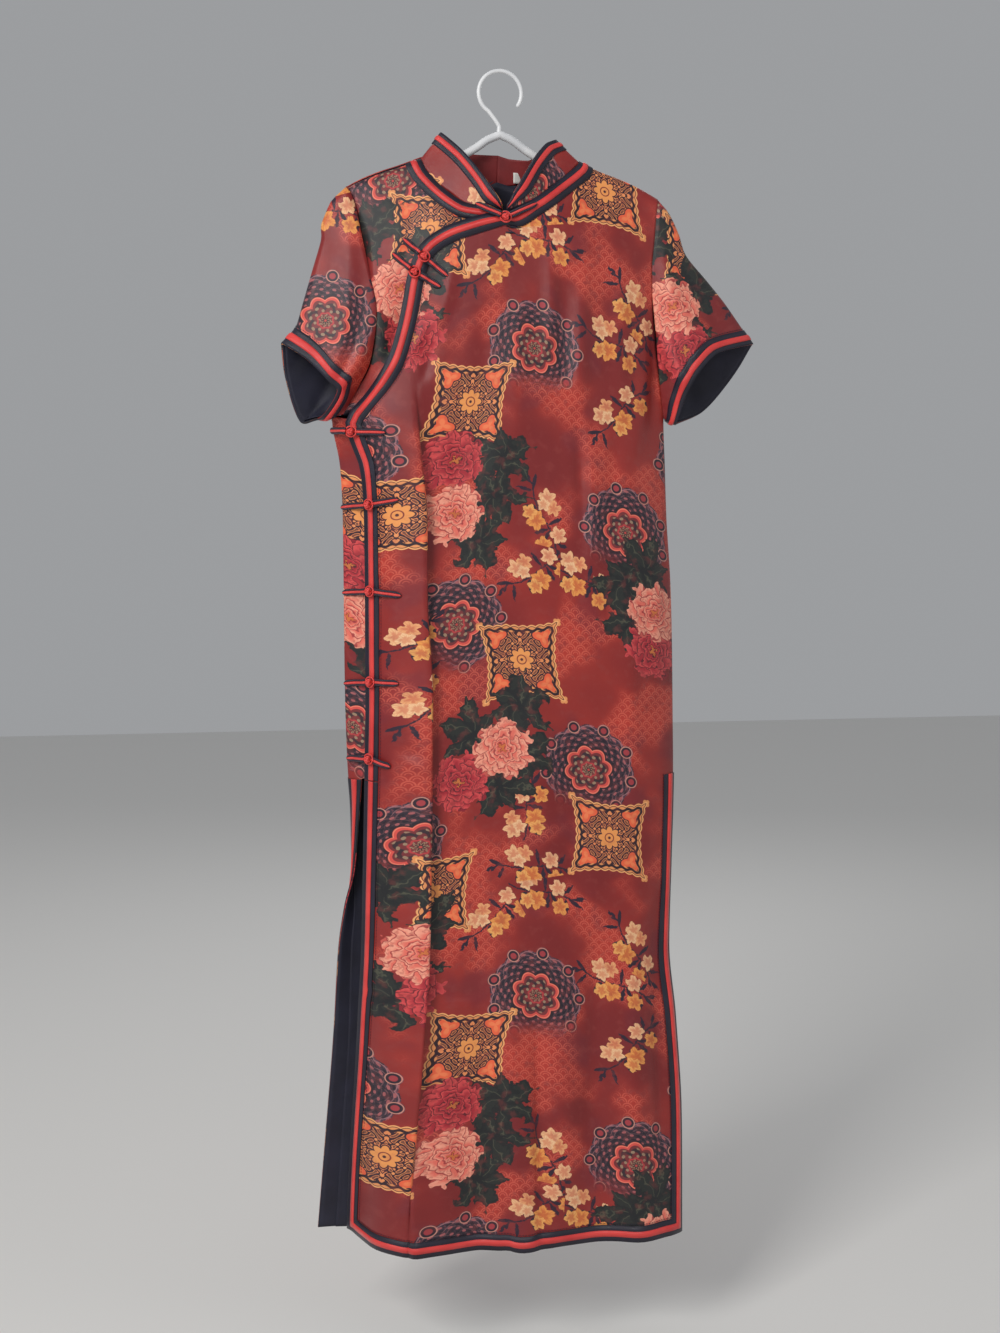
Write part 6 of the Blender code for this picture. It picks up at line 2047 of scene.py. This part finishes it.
# %% The hanger
def make_hanger():
    half = ((0, -68), (14, -74), (27, -83), (40, -91), (52, -98), (70, -105), (92, -111), (118, -120),
            (145, -131), (163, -140))
    knots = [row[0] for row in half]
    drops = [row[1] for row in half]
    bar = np.array([(x, 0, float(smooth(knots, drops, abs(x)))) for x in np.linspace(-164, 164, 150)])
    round_end = np.sqrt(np.clip(1 - (np.clip(np.abs(bar[:, 0]) - 160.5, 0, None) / 3.6) ** 2, 0.03, 1))
    ups = np.broadcast_to(np.array([0.0, -1.0, 0.0]), bar.shape)
    cords = [(*cord_rings(bar, ARM_TUBE * round_end, 20, ups), "plastic")]
    centre_z = -(HOOK_RADIUS - HOOK_WIRE)
    hook = [(-1.0, 0, -70), (-1.0, 0, -64), (-1.4, 0, -58)]
    for degrees in range(238, -41, -6):
        angle = math.radians(degrees)
        hook.append((HOOK_RADIUS * math.cos(angle), 0, centre_z + HOOK_RADIUS * math.sin(angle)))
    hook = smooth_path(hook, 130)
    ups = np.broadcast_to(np.array([0.0, -1.0, 0.0]), hook.shape)
    at = np.linspace(0, 1, len(hook))
    root = 1 + 0.5 * np.exp(-(at / 0.05) ** 2)
    tip = np.sqrt(np.clip(1 - (np.clip(at - 0.985, 0, 1) / 0.0151) ** 2, 0.05, 1))
    radius = HOOK_WIRE * root * tip
    cords.append((*cord_rings(hook, radius, 16, ups), "plastic"))
    piece = join_cords("hanger", cords, ["hanger"])
    return piece


make_hanger()

# %% [markdown]
# ## Stitches by Geometry Nodes
#
# A row of small stitches holds the inner edge of the bindings on the opening, the skirts
# and the cuffs. They are all alike and follow a line, which is what Geometry Nodes do well:
# the line is cut into equal steps, one short stitch is placed at each step and turned along
# the line, and the copies are made real, because an exported model keeps no instances.

# %% The stitch tree
def build_stitch_tree():
    tree = bpy.data.node_groups.new("running_stitch", "GeometryNodeTree")
    face = tree.interface
    face.new_socket("Geometry", in_out="INPUT", socket_type="NodeSocketGeometry")
    for label, value in (("Spacing", 0.0036), ("Stitch Length", 0.0023), ("Thread Radius", 0.00028)):
        face.new_socket(label, in_out="INPUT", socket_type="NodeSocketFloat").default_value = value
    face.new_socket("Thread", in_out="INPUT", socket_type="NodeSocketMaterial")
    face.new_socket("Geometry", in_out="OUTPUT", socket_type="NodeSocketGeometry")
    nodes, links = tree.nodes, tree.links
    entry = nodes.new("NodeGroupInput")
    leave = nodes.new("NodeGroupOutput")
    to_curve = nodes.new("GeometryNodeMeshToCurve")
    resample = nodes.new("GeometryNodeResampleCurve")
    resample.mode = "LENGTH"
    stitch = nodes.new("GeometryNodeMeshCylinder")
    stitch.inputs["Vertices"].default_value = 5
    place = nodes.new("GeometryNodeInstanceOnPoints")
    tangent = nodes.new("GeometryNodeInputTangent")
    turn = nodes.new("FunctionNodeAlignRotationToVector")
    turn.axis = "Z"
    real = nodes.new("GeometryNodeRealizeInstances")
    paint = nodes.new("GeometryNodeSetMaterial")
    links.new(entry.outputs["Geometry"], to_curve.inputs["Mesh"])
    links.new(to_curve.outputs["Curve"], resample.inputs["Curve"])
    links.new(entry.outputs["Spacing"], resample.inputs["Length"])
    links.new(entry.outputs["Stitch Length"], stitch.inputs["Depth"])
    links.new(entry.outputs["Thread Radius"], stitch.inputs["Radius"])
    links.new(resample.outputs["Curve"], place.inputs["Points"])
    links.new(stitch.outputs["Mesh"], place.inputs["Instance"])
    links.new(tangent.outputs["Tangent"], turn.inputs["Vector"])
    links.new(turn.outputs["Rotation"], place.inputs["Rotation"])
    links.new(place.outputs["Instances"], real.inputs["Geometry"])
    links.new(real.outputs["Geometry"], paint.inputs["Geometry"])
    links.new(entry.outputs["Thread"], paint.inputs["Material"])
    links.new(paint.outputs["Geometry"], leave.inputs["Geometry"])
    print(f"stitch tree: {len(nodes)} nodes")
    return tree


STITCH_TREE = build_stitch_tree()


# %% Sewing along lines
def sew(name, lines, thread, spacing):
    """Stitches along lines of points, as one plain mesh."""
    vertices, edges = [], []
    for line_of in lines:
        start = len(vertices)
        vertices += [tuple(float(value) * MM for value in point) for point in line_of]
        edges += [(start + k, start + k + 1) for k in range(len(line_of) - 1)]
    mesh = bpy.data.meshes.new(name + "_line")
    mesh.from_pydata(vertices, edges, [])
    holder = bpy.data.objects.new(name + "_line", mesh)
    bpy.context.collection.objects.link(holder)
    sewing = holder.modifiers.new("sewing", "NODES")
    sewing.node_group = STITCH_TREE
    named = {socket.name: socket.identifier for socket in STITCH_TREE.interface.items_tree
             if socket.in_out == "INPUT"}
    sewing[named["Spacing"]] = spacing
    sewing[named["Thread"]] = CLOTHS[thread]
    result = bpy.data.meshes.new_from_object(holder.evaluated_get(bpy.context.evaluated_depsgraph_get()))
    holder.modifiers.remove(sewing)
    bpy.data.objects.remove(holder)
    piece = bpy.data.objects.new(name, result)
    bpy.context.collection.objects.link(piece)
    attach(piece, "root")
    print(f"{name}: {len(result.polygons)} faces")
    return piece


def binding_lines():
    """Lines just inside the inner edge of the bindings on the opening, the skirts and the cuffs."""
    front = moved_out(FRONT_POINTS, 0.35)
    back = moved_out(BACK_POINTS, 0.35)
    first = int(np.argmax(FRONT_COLUMN_OF >= 3))
    last = int(np.argmax(FRONT_COLUMN_OF >= FRONT_COLUMN_OF[-1] - 2))
    low = int(np.argmax(FRONT_ROW_OF >= FRONT_ROW_OF[-1] - 2))
    slit = int(np.argmax(FRONT_ROW_OF >= FRONT_SLIT))
    shift = 0.55
    left = front[3:low, first] * (1 - shift) + front[3:low, first + 1] * shift
    right = front[slit:low, last] * (1 - shift) + front[slit:low, last - 1] * shift
    hem = front[low, first:last + 1] + np.array([0, 0, 1.6])
    lines = [left, right, hem]
    first = int(np.argmax(BACK_COLUMN_OF >= 3))
    last = int(np.argmax(BACK_COLUMN_OF >= BACK_COLUMN_OF[-1] - 2))
    low = int(np.argmax(BACK_ROW_OF >= BACK_ROW_OF[-1] - 2))
    slit = int(np.argmax(BACK_ROW_OF >= BACK_SLIT))
    lines.append(back[slit:low, first] * (1 - shift) + back[slit:low, first + 1] * shift)
    lines.append(back[slit:low, last] * (1 - shift) + back[slit:low, last - 1] * shift)
    lines.append(back[low, first:last + 1] + np.array([0, 0, 1.6]))
    for points in SLEEVE_POINTS.values():
        ring = moved_out(points, 0.35, True)[-9]
        step = moved_out(points, 0.35, True)[-10]
        lines.append(np.vstack([ring, ring[:1]]) * 0.7 + np.vstack([step, step[:1]]) * 0.3)
    return lines


SHEETS["front"][1].append(sew("binding_stitches", binding_lines(), "thread", 0.0036))

# %% [markdown]
# ## The cloth's flat sizes
#
# Each panel's flat size is stated here, as a width, a length and its own area. The
# figures are rounded from the modelled panels themselves, and the end only prints them
# beside the modelled areas: they say nothing about how true the cloth is to a real cut.

# %% Flat size of each panel: width, length and area, in metres and square metres
CUTS = {
    "front": (0.48, 1.27, 0.50),
    "front_flap": (0.16, 0.27, 0.023),
    "back": (0.475, 1.27, 0.515),
    "back_lining": (0.47, 1.26, 0.40),
    "sleeve_left": (0.41, 0.195, 0.036),
    "sleeve_right": (0.41, 0.20, 0.036),
    "sleeve_lining_left": (0.40, 0.17, 0.027),
    "sleeve_lining_right": (0.40, 0.175, 0.0275),
    "collar_left": (0.22, 0.045, 0.007),
    "collar_right": (0.215, 0.041, 0.006),
}

for sheet_name, (piece, carried) in SHEETS.items():
    width, length, area = CUTS[sheet_name]
    print(f"{sheet_name}: modelled {measure(piece):.4f} m2, stated {area} m2 in {width} x {length} m")
